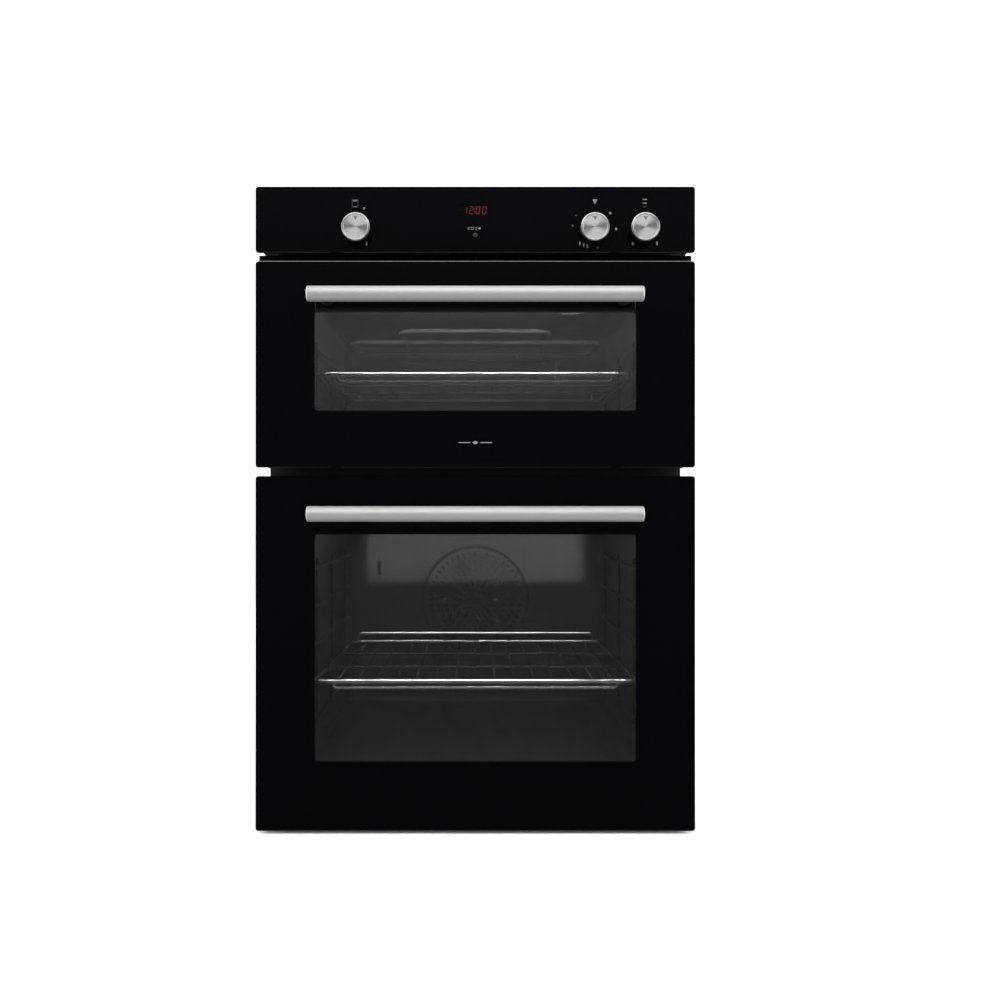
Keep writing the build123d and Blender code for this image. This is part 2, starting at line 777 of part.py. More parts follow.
def make_blower_motor():
    start = BLOWER_HALF + 3.0
    end = start + 36.0
    with BuildPart() as blower_motor:
        block((start, end), (BLOWER_Y - 20, BLOWER_Y + 20), (BLOWER_Z - 17, BLOWER_Z + 17))
        fillet(blower_motor.edges().filter_by(Axis.X), 3)
        rod((end, BLOWER_Y, BLOWER_Z), (end + 6, BLOWER_Y, BLOWER_Z), 9)
        block((start, end - 12), (BLOWER_Y - 26, BLOWER_Y + 26), (BLOWER_Z - 8, BLOWER_Z + 8))
        rod(
            (start - 1, BLOWER_Y, BLOWER_Z),
            (start + 20, BLOWER_Y, BLOWER_Z),
            SPINDLE_R + RUNNING_FIT,
            mode=Mode.SUBTRACT,
        )
    write_piece(blower_motor.part, "blower_motor")


def make_cooling_duct():
    """Flat duct that carries the air from the blower to the slot above the upper door."""
    low = BLOWER_Z - BLOWER_BORE_R - BLOWER_WALL
    top = low + 12.0
    front = FRAME_Y + SHEET
    with BuildPart() as cooling_duct:
        block((-DUCT_HALF, DUCT_HALF), (front, MOUTH_Y), (low, top))
        block(
            (-DUCT_HALF + BLOWER_WALL, DUCT_HALF - BLOWER_WALL),
            (front, MOUTH_Y),
            (low + BLOWER_WALL, top - BLOWER_WALL),
            mode=Mode.SUBTRACT,
        )
    write_piece(cooling_duct.part, "cooling_duct")


def make_vent_trim():
    """Dark strip between the control panel and the upper door, open for the air."""
    middle = (VENT_BOTTOM + VENT_TOP) / 2
    with BuildPart() as vent_trim:
        with BuildSketch(at_height(VENT_BOTTOM)) as plan:
            with Locations((0, (VENT_FRONT + FRAME_Y) / 2)):
                Rectangle(2 * VENT_HALF, FRAME_Y - VENT_FRONT)
            fillet(plan.vertices().group_by(Axis.Y)[0], 3)
        extrude(amount=VENT_TOP - VENT_BOTTOM)
        with BuildSketch(at_depth(FRAME_Y + 1)):
            with Locations((0, middle)):
                with GridLocations(29.5, 0, 10, 1):
                    SlotOverall(26, 5)
        extrude(amount=40, mode=Mode.SUBTRACT)
    write_piece(vent_trim.part, "vent_trim")


# ---------------------------------------------------------------- doors
def make_outer_glass(oven):
    height = oven.door_top - oven.door_bottom
    with BuildPart() as outer_glass:
        with BuildSketch(at_depth(FRONT_Y + GLASS)):
            with Locations((0, oven.door_middle)):
                RectangleRounded(FRONT_WIDTH, height, CORNER)
            with Locations((-POST_X, oven.handle_z), (POST_X, oven.handle_z)):
                Circle(STUD_R + 0.4, mode=Mode.SUBTRACT)
        extrude(amount=GLASS)
        rim = outer_glass.faces().sort_by(Axis.Y)[0].outer_wire().edges()
        chamfer(rim, 0.8)
    write_piece(outer_glass.part, f"{oven.name}_outer_glass")


def make_inner_glass(oven):
    with BuildPart() as inner_glass:
        with BuildSketch(at_depth(FRONT_Y + DOOR_THICK)):
            with Locations((0, oven.opening_middle)):
                RectangleRounded(
                    2 * (CAVITY_HALF + GLASS_BORDER), oven.opening_height + 2 * GLASS_BORDER, 8
                )
        extrude(amount=GLASS)
        chamfer(inner_glass.faces().sort_by(Axis.Y)[-1].edges(), 0.8)
    write_piece(inner_glass.part, f"{oven.name}_inner_glass")


def make_door_frame(oven):
    """Pressed frame between the two glasses, rounded where it swings past the chassis."""
    face = FRONT_Y + GLASS
    rear = FRONT_Y + DOOR_THICK
    seat = rear - GLASS - 0.2
    skin = seat - FRAME_WALL
    swing_r = 24.0
    middle = (oven.frame_bottom + oven.frame_top) / 2
    height = oven.frame_top - oven.frame_bottom
    window_middle = (oven.window_bottom + oven.window_top) / 2
    hole_width = 2 * (WINDOW_HALF + WINDOW_MARGIN)
    hole_height = oven.window_top - oven.window_bottom + 2 * WINDOW_MARGIN
    notch_half = LEVER_THICK / 2 + 0.6

    with BuildPart() as pocket:
        with BuildSketch(at_depth(skin)):
            with Locations((0, middle)):
                Rectangle(2 * (FRAME_HALF - FRAME_WALL), height - 2 * FRAME_WALL)
        extrude(amount=skin - face)
        low_edge = pocket.edges().filter_by(Axis.X).group_by(Axis.Y)[-1].sort_by(Axis.Z)[0]
        fillet(low_edge, swing_r - FRAME_WALL)
        with BuildSketch(at_depth(skin)):
            with Locations((0, window_middle)):
                Rectangle(hole_width + 2 * FRAME_WALL, hole_height + 2 * FRAME_WALL)
        extrude(amount=skin - face, mode=Mode.SUBTRACT)

    with BuildPart() as door_frame:
        with BuildSketch(at_depth(rear)):
            with Locations((0, middle)):
                Rectangle(2 * FRAME_HALF, height)
        extrude(amount=rear - face)
        low_edge = door_frame.edges().filter_by(Axis.X).group_by(Axis.Y)[-1].sort_by(Axis.Z)[0]
        fillet(low_edge, swing_r)
        add(pocket.part, mode=Mode.SUBTRACT)
        with BuildSketch(at_depth(rear)):
            with Locations((0, oven.opening_middle)):
                RectangleRounded(
                    2 * (CAVITY_HALF + GLASS_BORDER) + 0.6,
                    oven.opening_height + 2 * GLASS_BORDER + 0.6,
                    8.3,
                )
        extrude(amount=rear - seat, mode=Mode.SUBTRACT)
        with BuildSketch(at_depth(rear)):
            with Locations((0, window_middle)):
                Rectangle(hole_width, hole_height)
        extrude(amount=rear - face, mode=Mode.SUBTRACT)
        for side in (-1, 1):
            rod((side * POST_X, face, oven.handle_z), (side * POST_X, seat, oven.handle_z), 9)
            rod(
                (side * POST_X, face - 1, oven.handle_z),
                (side * POST_X, face + 16, oven.handle_z),
                STUD_R + 0.4,
                mode=Mode.SUBTRACT,
            )
            block(
                (side * HINGE_X - notch_half, side * HINGE_X + notch_half),
                (face + 1.5, rear + 1),
                (oven.frame_bottom - 1, oven.hinge_z + LEVER_R + 1.5),
                mode=Mode.SUBTRACT,
            )
    write_piece(door_frame.part, f"{oven.name}_door_frame")


def make_top_trim(oven):
    """Slotted cap along the top of the door that lets warm air out between the glasses."""
    face = FRONT_Y + GLASS
    rear = FRONT_Y + DOOR_THICK
    base = oven.frame_top
    top = base + TRIM_HEIGHT
    wall = 2.0
    with BuildPart() as top_trim:
        block((-FRAME_HALF, FRAME_HALF), (face, rear), (base, top))
        fillet(top_trim.edges().filter_by(Axis.X).group_by(Axis.Z)[-1].sort_by(Axis.Y)[-1], 3)
        block(
            (-FRAME_HALF + wall, FRAME_HALF - wall),
            (face + wall, rear - wall),
            (base, top - wall),
            mode=Mode.SUBTRACT,
        )
        with BuildSketch(at_height(top - wall - 1)):
            with Locations((0, (face + rear) / 2)):
                with GridLocations(34, 0, 15, 1):
                    SlotOverall(26, 6)
        extrude(amount=wall + 2, mode=Mode.SUBTRACT)
    write_piece(top_trim.part, f"{oven.name}_top_trim")


def make_handle_bar(oven):
    """Round bar with softly rounded ends and a fine joint line beside each end cap."""
    half = HANDLE_LENGTH / 2
    cap = 3.5
    with BuildPart() as handle_bar:
        with BuildSketch(at_side(-half)):
            with Locations((HANDLE_Y, oven.handle_z)):
                Circle(HANDLE_R)
        extrude(amount=HANDLE_LENGTH)
        fillet(handle_bar.edges().filter_by(GeomType.CIRCLE), 1.8)
        for side in (-1, 1):
            start = side * (half - cap) - 0.25
            with BuildSketch(at_side(start)):
                with Locations((HANDLE_Y, oven.handle_z)):
                    Circle(HANDLE_R + 1)
                    Circle(HANDLE_R - 0.4, mode=Mode.SUBTRACT)
            extrude(amount=0.5, mode=Mode.SUBTRACT)
    write_piece(handle_bar.part, f"{oven.name}_handle_bar")


def make_handle_posts(oven):
    """Two stand-offs shaped to the bar, each with a stud through the door glass."""
    z = oven.handle_z
    foot = FRONT_Y - 0.1
    with BuildPart() as handle_posts:
        for side in (-1, 1):
            x = side * POST_X
            rod((x, foot, z), (x, HANDLE_Y, z), POST_R)
            rod((x, foot, z), (x, foot - 3, z), POST_R + 1.5)
            rod((x, foot, z), (x, FRONT_Y + GLASS + 14, z), STUD_R)
        rod(
            (-HANDLE_LENGTH / 2, HANDLE_Y, z),
            (HANDLE_LENGTH / 2, HANDLE_Y, z),
            HANDLE_R + RUNNING_FIT,
            mode=Mode.SUBTRACT,
        )
    write_piece(handle_posts.part, f"{oven.name}_handle_posts")


def make_hinge_arms(oven):
    """Door half of both hinges: a channel with two cheeks around the fixed lever."""
    cheek = 2.0
    gap = LEVER_THICK / 2 + 1.0
    cheek_r = 9.0
    web_front = HINGE_Y - cheek_r
    arm_top = oven.hinge_z + 74.0
    arm_low = oven.hinge_z + 12.0
    with BuildPart() as hinge_arms:
        for side in (-1, 1):
            for inner in (-gap - cheek, gap):
                x = side * HINGE_X + inner
                rod((x, HINGE_Y, oven.hinge_z), (x + cheek, HINGE_Y, oven.hinge_z), cheek_r)
                block((x, x + cheek), (web_front, HINGE_Y + cheek_r), (oven.hinge_z, arm_top))
            block(
                (side * HINGE_X - gap - cheek, side * HINGE_X + gap + cheek),
                (web_front, web_front + cheek),
                (arm_low, arm_top),
            )
            rod(
                (side * HINGE_X - 12, HINGE_Y, oven.hinge_z),
                (side * HINGE_X + 12, HINGE_Y, oven.hinge_z),
                PIN_R + RUNNING_FIT,
                mode=Mode.SUBTRACT,
            )
    write_piece(hinge_arms.part, f"{oven.name}_hinge_arms")


def make_hinge_brackets(oven):
    """Fixed half of both hinges: plate behind the frame, lever through its slot, and pin."""
    plate_y = FRAME_Y + SHEET
    half = LEVER_THICK / 2
    z = oven.hinge_z
    with BuildPart() as hinge_brackets:
        for side in (-1, 1):
            x = side * HINGE_X
            block((x - 13, x + 13), (plate_y, plate_y + 3), (z - 12, z + 38))
            block((x - half, x + half), (HINGE_Y, plate_y), (z - LEVER_R, z + LEVER_R))
            rod((x - half, HINGE_Y, z), (x + half, HINGE_Y, z), LEVER_R)
            rod((x - half - 4.5, HINGE_Y, z), (x + half + 4.5, HINGE_Y, z), PIN_R)
    write_piece(hinge_brackets.part, f"{oven.name}_hinge_brackets")


# ---------------------------------------------------------------- control panel
def make_control_glass():
    with BuildPart() as control_glass:
        with BuildSketch(at_depth(FRONT_Y + GLASS)):
            with Locations((0, (PANEL_BOTTOM + PANEL_TOP) / 2)):
                RectangleRounded(FRONT_WIDTH, PANEL_TOP - PANEL_BOTTOM, CORNER)
            with Locations(*[(x, KNOB_Z) for x in KNOBS.values()]):
                Circle(SPINDLE_R + 2, mode=Mode.SUBTRACT)
            with Locations((0, BUTTON_Z)):
                Circle(BUTTON_R + 0.4, mode=Mode.SUBTRACT)
        extrude(amount=GLASS)
        rim = control_glass.faces().sort_by(Axis.Y)[0].outer_wire().edges()
        chamfer(rim, 0.8)
    write_piece(control_glass.part, "control_glass")


def make_panel_carrier():
    """Moulded tray that holds the control glass and hangs on the front frame."""
    face = FRONT_Y + GLASS
    middle = (CARRIER_BOTTOM + CARRIER_TOP) / 2
    height = CARRIER_TOP - CARRIER_BOTTOM
    wall = CARRIER_WALL
    with BuildPart() as panel_carrier:
        with BuildSketch(at_depth(FRAME_Y)):
            with Locations((0, middle)):
                RectangleRounded(2 * CARRIER_HALF, height, 4)
        extrude(amount=FRAME_Y - face)
        with BuildSketch(at_depth(FRAME_Y)):
            with Locations((0, middle)):
                RectangleRounded(2 * (CARRIER_HALF - wall), height - 2 * wall, 2)
        extrude(amount=FRAME_Y - face - wall, mode=Mode.SUBTRACT)
        with BuildSketch(at_depth(FRAME_Y)):
            with Locations(*[(x, KNOB_Z) for x in KNOBS.values()]):
                Circle(SPINDLE_R + 2)
            with Locations((0, DISPLAY_Z)):
                RectangleRounded(72, 36, 2)
            with Locations((0, BUTTON_Z)):
                Circle(BUTTON_R + 0.4)
        extrude(amount=FRAME_Y - face + 1, mode=Mode.SUBTRACT)
    write_piece(panel_carrier.part, "panel_carrier")


def make_switch(name, x):
    """Rotary switch or thermostat body behind one knob."""
    front = FRONT_Y + GLASS + CARRIER_WALL + 0.2
    with BuildPart() as switch:
        block((x - 21, x + 21), (front + 6, front + 30), (KNOB_Z - 20, KNOB_Z + 20))
        fillet(switch.edges().filter_by(Axis.Y), 4)
        rod((x, front, KNOB_Z), (x, front + 7, KNOB_Z), 8)
        for column in (-12, 0, 12):
            for row in (-8, 8):
                block(
                    (x + column - 3, x + column + 3),
                    (front + 30, front + 38),
                    (KNOB_Z + row - 0.5, KNOB_Z + row + 0.5),
                )
        bore_r = SPINDLE_R + RUNNING_FIT
        rod((x, front - 1, KNOB_Z), (x, front + 24, KNOB_Z), bore_r, mode=Mode.SUBTRACT)
    write_piece(switch.part, name)


def make_knob(name, x):
    """Turned metal knob with a shallow dished face, a pointer notch and its spindle."""
    spindle_end = FRONT_Y + GLASS + CARRIER_WALL + 20.0
    with BuildPart() as knob:
        with BuildSketch(Plane.XY.offset(KNOB_Z)):
            with BuildLine():
                Polyline(
                    (x, KNOB_FRONT + 0.7),
                    (x + KNOB_R - 3.0, KNOB_FRONT + 0.7),
                    (x + KNOB_R - 2.4, KNOB_FRONT),
                    (x + KNOB_R - 1.4, KNOB_FRONT),
                    (x + KNOB_R - 0.4, KNOB_FRONT + 1.0),
                    (x + KNOB_R, KNOB_BACK - 2.0),
                    (x + KNOB_R - 0.8, KNOB_BACK),
                    (x + SPINDLE_R, KNOB_BACK),
                    (x + SPINDLE_R, spindle_end),
                    (x, spindle_end),
                    close=True,
                )
            make_face()
        revolve(axis=Axis((x, 0, KNOB_Z), (0, 1, 0)), revolution_arc=360)
        with BuildSketch(at_depth(KNOB_FRONT + 1.3)):
            with Locations((x, KNOB_Z + 11.5)):
                RegularPolygon(2.4, 3, rotation=-90)
        extrude(amount=2, mode=Mode.SUBTRACT)
    write_piece(knob.part, name)


def make_display_module():
    """Clock module: display block behind the glass, circuit board and button switch."""
    block_front = FRONT_Y + GLASS + 0.5
    board_y = FRONT_Y + 20.0
    with BuildPart() as display_module:
        block((-34, 34), (block_front, board_y), (DISPLAY_Z - 16, DISPLAY_Z + 16))
        block((-55, 55), (board_y, board_y + 1.6), (796, 866))
        block((-3, 3), (board_y - 3, board_y), (BUTTON_Z - 3, BUTTON_Z + 3))
        block((-30, 30), (board_y + 1.6, board_y + 14), (824, 858))
    write_piece(display_module.part, "display_module")


def make_timer_button():
    """Small round push button with a collar that keeps it behind the glass."""
    stem_end = FRONT_Y + 20.0 - 3.0 - 1.4
    collar = FRONT_Y + GLASS + CARRIER_WALL + 0.4
    with BuildPart() as timer_button:
        rod((0, FRONT_Y - 1.8, BUTTON_Z), (0, stem_end, BUTTON_Z), BUTTON_R)
        fillet(timer_button.edges().group_by(Axis.Y)[0], 0.8)
        rod((0, collar, BUTTON_Z), (0, collar + 1.5, BUTTON_Z), BUTTON_R + 1.2)
    write_piece(timer_button.part, "timer_button")


def make_terminal_block():
    """Mains terminal box low on the rear panel with its cable gland."""
    x = -190.0
    z = 120.0
    with BuildPart() as terminal_block:
        block((x - 42, x + 42), (REAR_Y, REAR_Y + 24), (z - 30, z + 30))
        fillet(terminal_block.edges().filter_by(Axis.Y), 4)
        chamfer(terminal_block.faces().sort_by(Axis.Y)[-1].edges(), 1.5)
        rod((x, REAR_Y + 12, z - 30), (x, REAR_Y + 12, z - 44), 9)
        rod((x, REAR_Y + 12, z - 33), (x, REAR_Y + 12, z - 38), 11.5)
        rod((x, REAR_Y + 12, z - 45), (x, REAR_Y + 12, z - 34), 5.5, mode=Mode.SUBTRACT)
    write_piece(terminal_block.part, "terminal_block")


# ---------------------------------------------------------------- build everything
make_base_pan()
make_side_panel("left_side_panel", -1)
make_side_panel("right_side_panel", 1)
make_rear_panel()
make_top_cover()
make_front_frame()
make_mounting_flange("left_mounting_flange", -1)
make_mounting_flange("right_mounting_flange", 1)
make_chassis_screws()
make_terminal_block()

for oven in OVENS:
    make_cavity(oven, has_fan=oven is LOWER)
    make_insulation(oven, has_fan=oven is LOWER)
    make_gasket(oven)
    make_side_racks(oven)
    make_shelf(oven)
    make_hinge_brackets(oven)
    make_outer_glass(oven)
    make_inner_glass(oven)
    make_door_frame(oven)
    make_top_trim(oven)
    make_handle_bar(oven)
    make_handle_posts(oven)
    make_hinge_arms(oven)

make_sensor(LOWER, -178.0, 316.0, 345.0)
make_sensor(UPPER, 150.0, 670.0, 715.0)
make_lamps()
make_grill_element()
make_ring_element()
make_fan_cover()
make_oven_fan()
make_fan_motor()

make_blower_housing()
make_blower_rotor()
make_blower_motor()
make_cooling_duct()
make_vent_trim()

make_control_glass()
make_panel_carrier()
for place, knob_x in KNOBS.items():
    make_switch(f"{place}_switch", knob_x)
    make_knob(f"{place}_knob", knob_x)
make_display_module()
make_timer_button()
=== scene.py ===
import json
import math

import bmesh
import bpy
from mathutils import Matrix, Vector


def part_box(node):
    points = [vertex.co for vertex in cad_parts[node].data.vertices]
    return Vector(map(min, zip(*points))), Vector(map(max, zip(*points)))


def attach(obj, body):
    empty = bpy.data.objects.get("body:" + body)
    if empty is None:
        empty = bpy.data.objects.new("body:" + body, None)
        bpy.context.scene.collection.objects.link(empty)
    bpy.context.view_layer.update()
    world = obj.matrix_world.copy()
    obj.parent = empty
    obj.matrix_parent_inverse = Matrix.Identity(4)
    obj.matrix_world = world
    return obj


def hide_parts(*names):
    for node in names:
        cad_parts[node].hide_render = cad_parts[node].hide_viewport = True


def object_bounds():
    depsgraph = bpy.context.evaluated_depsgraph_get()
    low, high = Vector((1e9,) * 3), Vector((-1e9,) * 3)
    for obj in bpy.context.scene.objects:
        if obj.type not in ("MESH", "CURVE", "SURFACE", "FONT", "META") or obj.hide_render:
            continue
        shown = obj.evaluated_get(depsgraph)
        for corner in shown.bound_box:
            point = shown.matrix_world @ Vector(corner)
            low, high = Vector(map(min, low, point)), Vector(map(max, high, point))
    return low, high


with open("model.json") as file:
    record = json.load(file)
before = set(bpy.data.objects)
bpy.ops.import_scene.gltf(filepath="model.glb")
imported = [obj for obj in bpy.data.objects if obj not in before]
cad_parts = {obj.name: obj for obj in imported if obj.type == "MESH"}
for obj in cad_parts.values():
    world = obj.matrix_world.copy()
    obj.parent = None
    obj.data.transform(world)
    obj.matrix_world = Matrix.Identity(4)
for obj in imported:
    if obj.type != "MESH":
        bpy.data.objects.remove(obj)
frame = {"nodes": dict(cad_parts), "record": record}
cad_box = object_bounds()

# Looks of a built-in double wall oven. Metres, the front faces -Y, Z up, as in the frame.

MM = 0.001
OVENS = ("upper", "lower")
KNOBS = ("left", "middle", "right")


def middle(box):
    return (box[0] + box[1]) / 2


def opening_box(name):
    """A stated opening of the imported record, as (low corner, high corner)."""
    for opening in frame["record"]["physics"]["openings"]:
        if opening["name"] == name:
            low, high = opening["box_m"]
            return Vector(low), Vector(high)
    raise ValueError(name)


# ---------------------------------------------------------------- node helpers


class Tree:
    """A node tree, with short ways to add and join its nodes."""

    def __init__(self, node_tree):
        self.nodes = node_tree.nodes
        self.links = node_tree.links

    def feed(self, socket, value):
        """Joins a socket to another one, or sets its value."""
        if isinstance(value, bpy.types.NodeSocket):
            self.links.new(value, socket)
        else:
            socket.default_value = value

    def add(self, kind, **settings):
        node = self.nodes.new("ShaderNode" + kind)
        for key, value in settings.items():
            setattr(node, key, value)
        return node

    def math(self, operation, first, second=0.0, clamp=False):
        node = self.add("Math", operation=operation, use_clamp=clamp)
        self.feed(node.inputs[0], first)
        self.feed(node.inputs[1], second)
        return node.outputs[0]


class Graph(Tree):
    """One material's node tree, with short ways to add what most materials need."""

    def __init__(self, name):
        self.material = bpy.data.materials.new(name)
        self.material.use_nodes = True
        super().__init__(self.material.node_tree)
        self.shader = self.nodes["Principled BSDF"]
        self.place = self.add("TexCoord").outputs["Object"]

    def axes(self):
        """The X, Y and Z of the shaded point, in the row frame."""
        node = self.add("SeparateXYZ")
        self.feed(node.inputs[0], self.place)
        return node.outputs

    def stretched(self, stretch):
        """The shaded point, with its axes scaled apart."""
        node = self.add("Mapping")
        self.feed(node.inputs["Vector"], self.place)
        node.inputs["Scale"].default_value = stretch
        return node.outputs[0]

    def noise(self, scale, detail=4.0, roughness=0.5, stretch=(1, 1, 1)):
        node = self.add("TexNoise")
        self.feed(node.inputs["Vector"], self.stretched(stretch))
        node.inputs["Scale"].default_value = scale
        node.inputs["Detail"].default_value = detail
        node.inputs["Roughness"].default_value = roughness
        return node.outputs[0]

    def cells(self, scale, output="Distance"):
        node = self.add("TexVoronoi")
        self.feed(node.inputs["Vector"], self.place)
        node.inputs["Scale"].default_value = scale
        return node.outputs[output]

    def spread(self, value, low, high, from_low=0.0, from_high=1.0, smooth=False):
        """value, from one range to another, held within it."""
        node = self.add("MapRange", interpolation_type="SMOOTHSTEP" if smooth else "LINEAR")
        self.feed(node.inputs["Value"], value)
        node.inputs["From Min"].default_value = from_low
        node.inputs["From Max"].default_value = from_high
        node.inputs["To Min"].default_value = low
        node.inputs["To Max"].default_value = high
        return node.outputs[0]

    def blend(self, factor, first, second):
        """Colour between two others, each a socket or a plain (red, green, blue)."""
        node = self.add("Mix", data_type="RGBA")
        self.feed(node.inputs[0], factor)
        for socket, value in ((node.inputs[6], first), (node.inputs[7], second)):
            self.feed(socket, value if isinstance(value, bpy.types.NodeSocket) else (*value, 1))
        return node.outputs[2]

    def bump(self, height, distance, strength):
        node = self.add("Bump")
        node.inputs["Strength"].default_value = strength
        node.inputs["Distance"].default_value = distance
        self.feed(node.inputs["Height"], height)
        return node.outputs[0]

    def inside(self, low, high, corner, soft=0.3 * MM):
        """1 inside a rounded rectangle of the XZ plane, 0 outside it."""
        centre = (low + high) / 2
        half = (high - low) / 2
        x, _, z = self.axes()
        squares = []
        for value, mid, reach in ((x, centre.x, half.x), (z, centre.z, half.z)):
            off = self.math("ABSOLUTE", self.math("SUBTRACT", value, mid))
            past = self.math("MAXIMUM", self.math("SUBTRACT", off, reach - corner), 0.0)
            squares.append(self.math("POWER", past, 2.0))
        length = self.math("SQRT", self.math("ADD", *squares))
        return self.spread(length, 1.0, 0.0, corner - soft, corner + soft)

    def finish(self, colour, roughness, normal=None, **sockets):
        """Sets the shader; a further socket's name has _ for its blanks."""
        colour = colour if isinstance(colour, bpy.types.NodeSocket) else (*colour, 1)
        self.feed(self.shader.inputs["Base Color"], colour)
        self.feed(self.shader.inputs["Roughness"], roughness)
        if normal is not None:
            self.feed(self.shader.inputs["Normal"], normal)
        for name, value in sockets.items():
            self.feed(self.shader.inputs[name.replace("_", " ")], value)
        return self.material


# ---------------------------------------------------------------- glass

GLASS_BLACK = (0.0007, 0.0006, 0.0013)
FACE_ALPHA = 0.26  # each face of the door glass, where its window is
HAZE_AND_LIGHT_TINT = (0.96, 1.0, 0.99)
HAZE_AND_PAINTED_LIGHT = {"upper": (0.031, 0.056), "lower": (0.012, 0.015)}  # grey at the foot and the head of the window: a faint real haze, brightened towards the head as painted light
BORDER_OVERLAP = 9.5 * MM  # the black border covers this much of the gap between the panes
UPPER_TOP_OVERLAP = 7.2 * MM  # and a little less along the top of the upper window
WINDOW_CORNER = 3.5 * MM
CLOCK_LEFT, CLOCK_RIGHT = -21 * MM, 18.5 * MM  # ends of the thin patch over the clock
CLOCK_DROP = 23 * MM  # from the top of the control glass to the top of that patch
CLOCK_HEIGHT = 15.5 * MM
CLOCK_CORNER = 1.5 * MM
CLOCK_ALPHA = 0.62


def smudges(graph, clean, worn):
    """Roughness of handled glass: clean, with faint wiped patches."""
    wiped = graph.noise(9.0, 5.0, 0.6, stretch=(1, 1, 0.45))
    return graph.spread(wiped, clean, worn, 0.45, 0.85, smooth=True)


def rolled(graph, distance):
    """The very slight waviness of rolled glass."""
    return graph.bump(graph.noise(3.2, 2.0), distance, 0.25)


def door_glass(name, window, haze_and_light_levels):
    """Black-backed glass with a clear window, greyed a little more at one end than the other by faint
    haze and painted light.
    """
    graph = Graph(name)
    low, high = window
    clear = graph.inside(low, high, WINDOW_CORNER)
    see = graph.spread(clear, 1.0, FACE_ALPHA)
    foot, head = (tuple(level * part for part in HAZE_AND_LIGHT_TINT) for level in haze_and_light_levels)
    # the window's grey brightens towards its head: painted light on top of a faint real haze
    up = graph.spread(graph.axes()[2], -0.1, 0.95, low.z, high.z)
    up = graph.math("ADD", up, graph.math("MULTIPLY", graph.noise(4.0, 3.0), 0.15), clamp=True)
    haze = graph.blend(up, foot, head)
    colour = graph.blend(clear, GLASS_BLACK, haze)
    return graph.finish(colour, smudges(graph, 0.025, 0.07), rolled(graph, 0.25 * MM), Alpha=see)


def ground_edge():
    """Matt ground edge of a glass pane."""
    graph = Graph("ground_glass_edge")
    grit = graph.noise(2600.0, 2.0)
    colour = graph.blend(grit, (0.1, 0.105, 0.11), (0.16, 0.168, 0.175))
    return graph.finish(colour, graph.spread(grit, 0.45, 0.6), graph.bump(grit, 0.04 * MM, 0.5))


def control_glass_look():
    """Black-backed glass, thinly smoked over the clock."""
    graph = Graph("control_glass_black")
    clear = graph.inside(*display_window(), CLOCK_CORNER)
    see = graph.spread(clear, 1.0, CLOCK_ALPHA)
    return graph.finish(
        GLASS_BLACK, smudges(graph, 0.025, 0.08), rolled(graph, 0.25 * MM), Alpha=see
    )


def clear_glass():
    """Thin inner pane, faintly green, with patches of baked-on haze."""
    graph = Graph("inner_glass_clear")
    haze = graph.noise(22.0, 6.0, 0.65)
    see = graph.spread(haze, 0.05, 0.13, 0.4, 0.8, smooth=True)
    colour = graph.blend(haze, (0.02, 0.026, 0.023), (0.05, 0.048, 0.042))
    return graph.finish(colour, graph.spread(haze, 0.03, 0.12, 0.4, 0.8), Alpha=see)


def lamp_glass():
    """Pressed lamp lens with a pebbled surface."""
    graph = Graph("lamp_lens_pressed")
    pebble = graph.cells(420.0)
    colour = graph.blend(graph.noise(60.0), (0.3, 0.295, 0.27), (0.38, 0.37, 0.34))
    return graph.finish(
        colour,
        graph.spread(pebble, 0.12, 0.3),
        graph.bump(pebble, 0.6 * MM, 0.7),
        Alpha=0.6,
    )


# ---------------------------------------------------------------- metal


def worn(graph, scale, low, high):
    """Where rubbing has dulled or bared a surface: small, scattered and uneven."""
    return graph.spread(graph.noise(scale, 8.0, 0.7), 0.0, 1.0, low, high, smooth=True)


def black_sheet():
    """Powder-coated steel: fine orange peel, a little dust and a few rubbed spots."""
    graph = Graph("black_powder_coat")
    peel = graph.noise(900.0, 3.0)
    bare = worn(graph, 35.0, 0.7, 0.8)
    dust = graph.spread(graph.noise(14.0, 5.0, 0.6), 0.0, 0.35, 0.4, 0.9)
    colour = graph.blend(dust, (0.006, 0.006, 0.007), (0.016, 0.016, 0.017))
    colour = graph.blend(graph.math("MULTIPLY", bare, 0.3), colour, (0.09, 0.09, 0.09))
    rough = graph.math("SUBTRACT", graph.spread(peel, 0.38, 0.5), graph.math("MULTIPLY", bare, 0.1))
    return graph.finish(colour, rough, graph.bump(peel, 0.06 * MM, 0.5))


def trim_black(name):
    """Deep black lacquer, slightly satin, with a little dust."""
    graph = Graph(name)
    dust = graph.spread(graph.noise(30.0, 5.0, 0.6), 0.0, 0.3, 0.5, 0.9)
    colour = graph.blend(dust, (0.0006, 0.0006, 0.0008), (0.004, 0.004, 0.0045))
    fine = graph.noise(900.0, 2.0)
    return graph.finish(
        colour, graph.spread(fine, 0.5, 0.62), graph.bump(fine, 0.04 * MM, 0.4), Specular_IOR_Level=0.12
    )


def door_aluminium():
    """Black-anodised extrusion with faint drawing lines along its length."""
    graph = Graph("anodised_black")
    drawn = graph.noise(260.0, 3.0, stretch=(0.05, 1, 1))
    bare = worn(graph, 50.0, 0.72, 0.82)
    colour = graph.blend(graph.noise(18.0), (0.012, 0.012, 0.013), (0.022, 0.022, 0.023))
    colour = graph.blend(graph.math("MULTIPLY", bare, 0.35), colour, (0.3, 0.3, 0.3))
    return graph.finish(
        colour, graph.spread(drawn, 0.3, 0.46), graph.bump(drawn, 0.03 * MM, 0.4), Metallic=0.6
    )


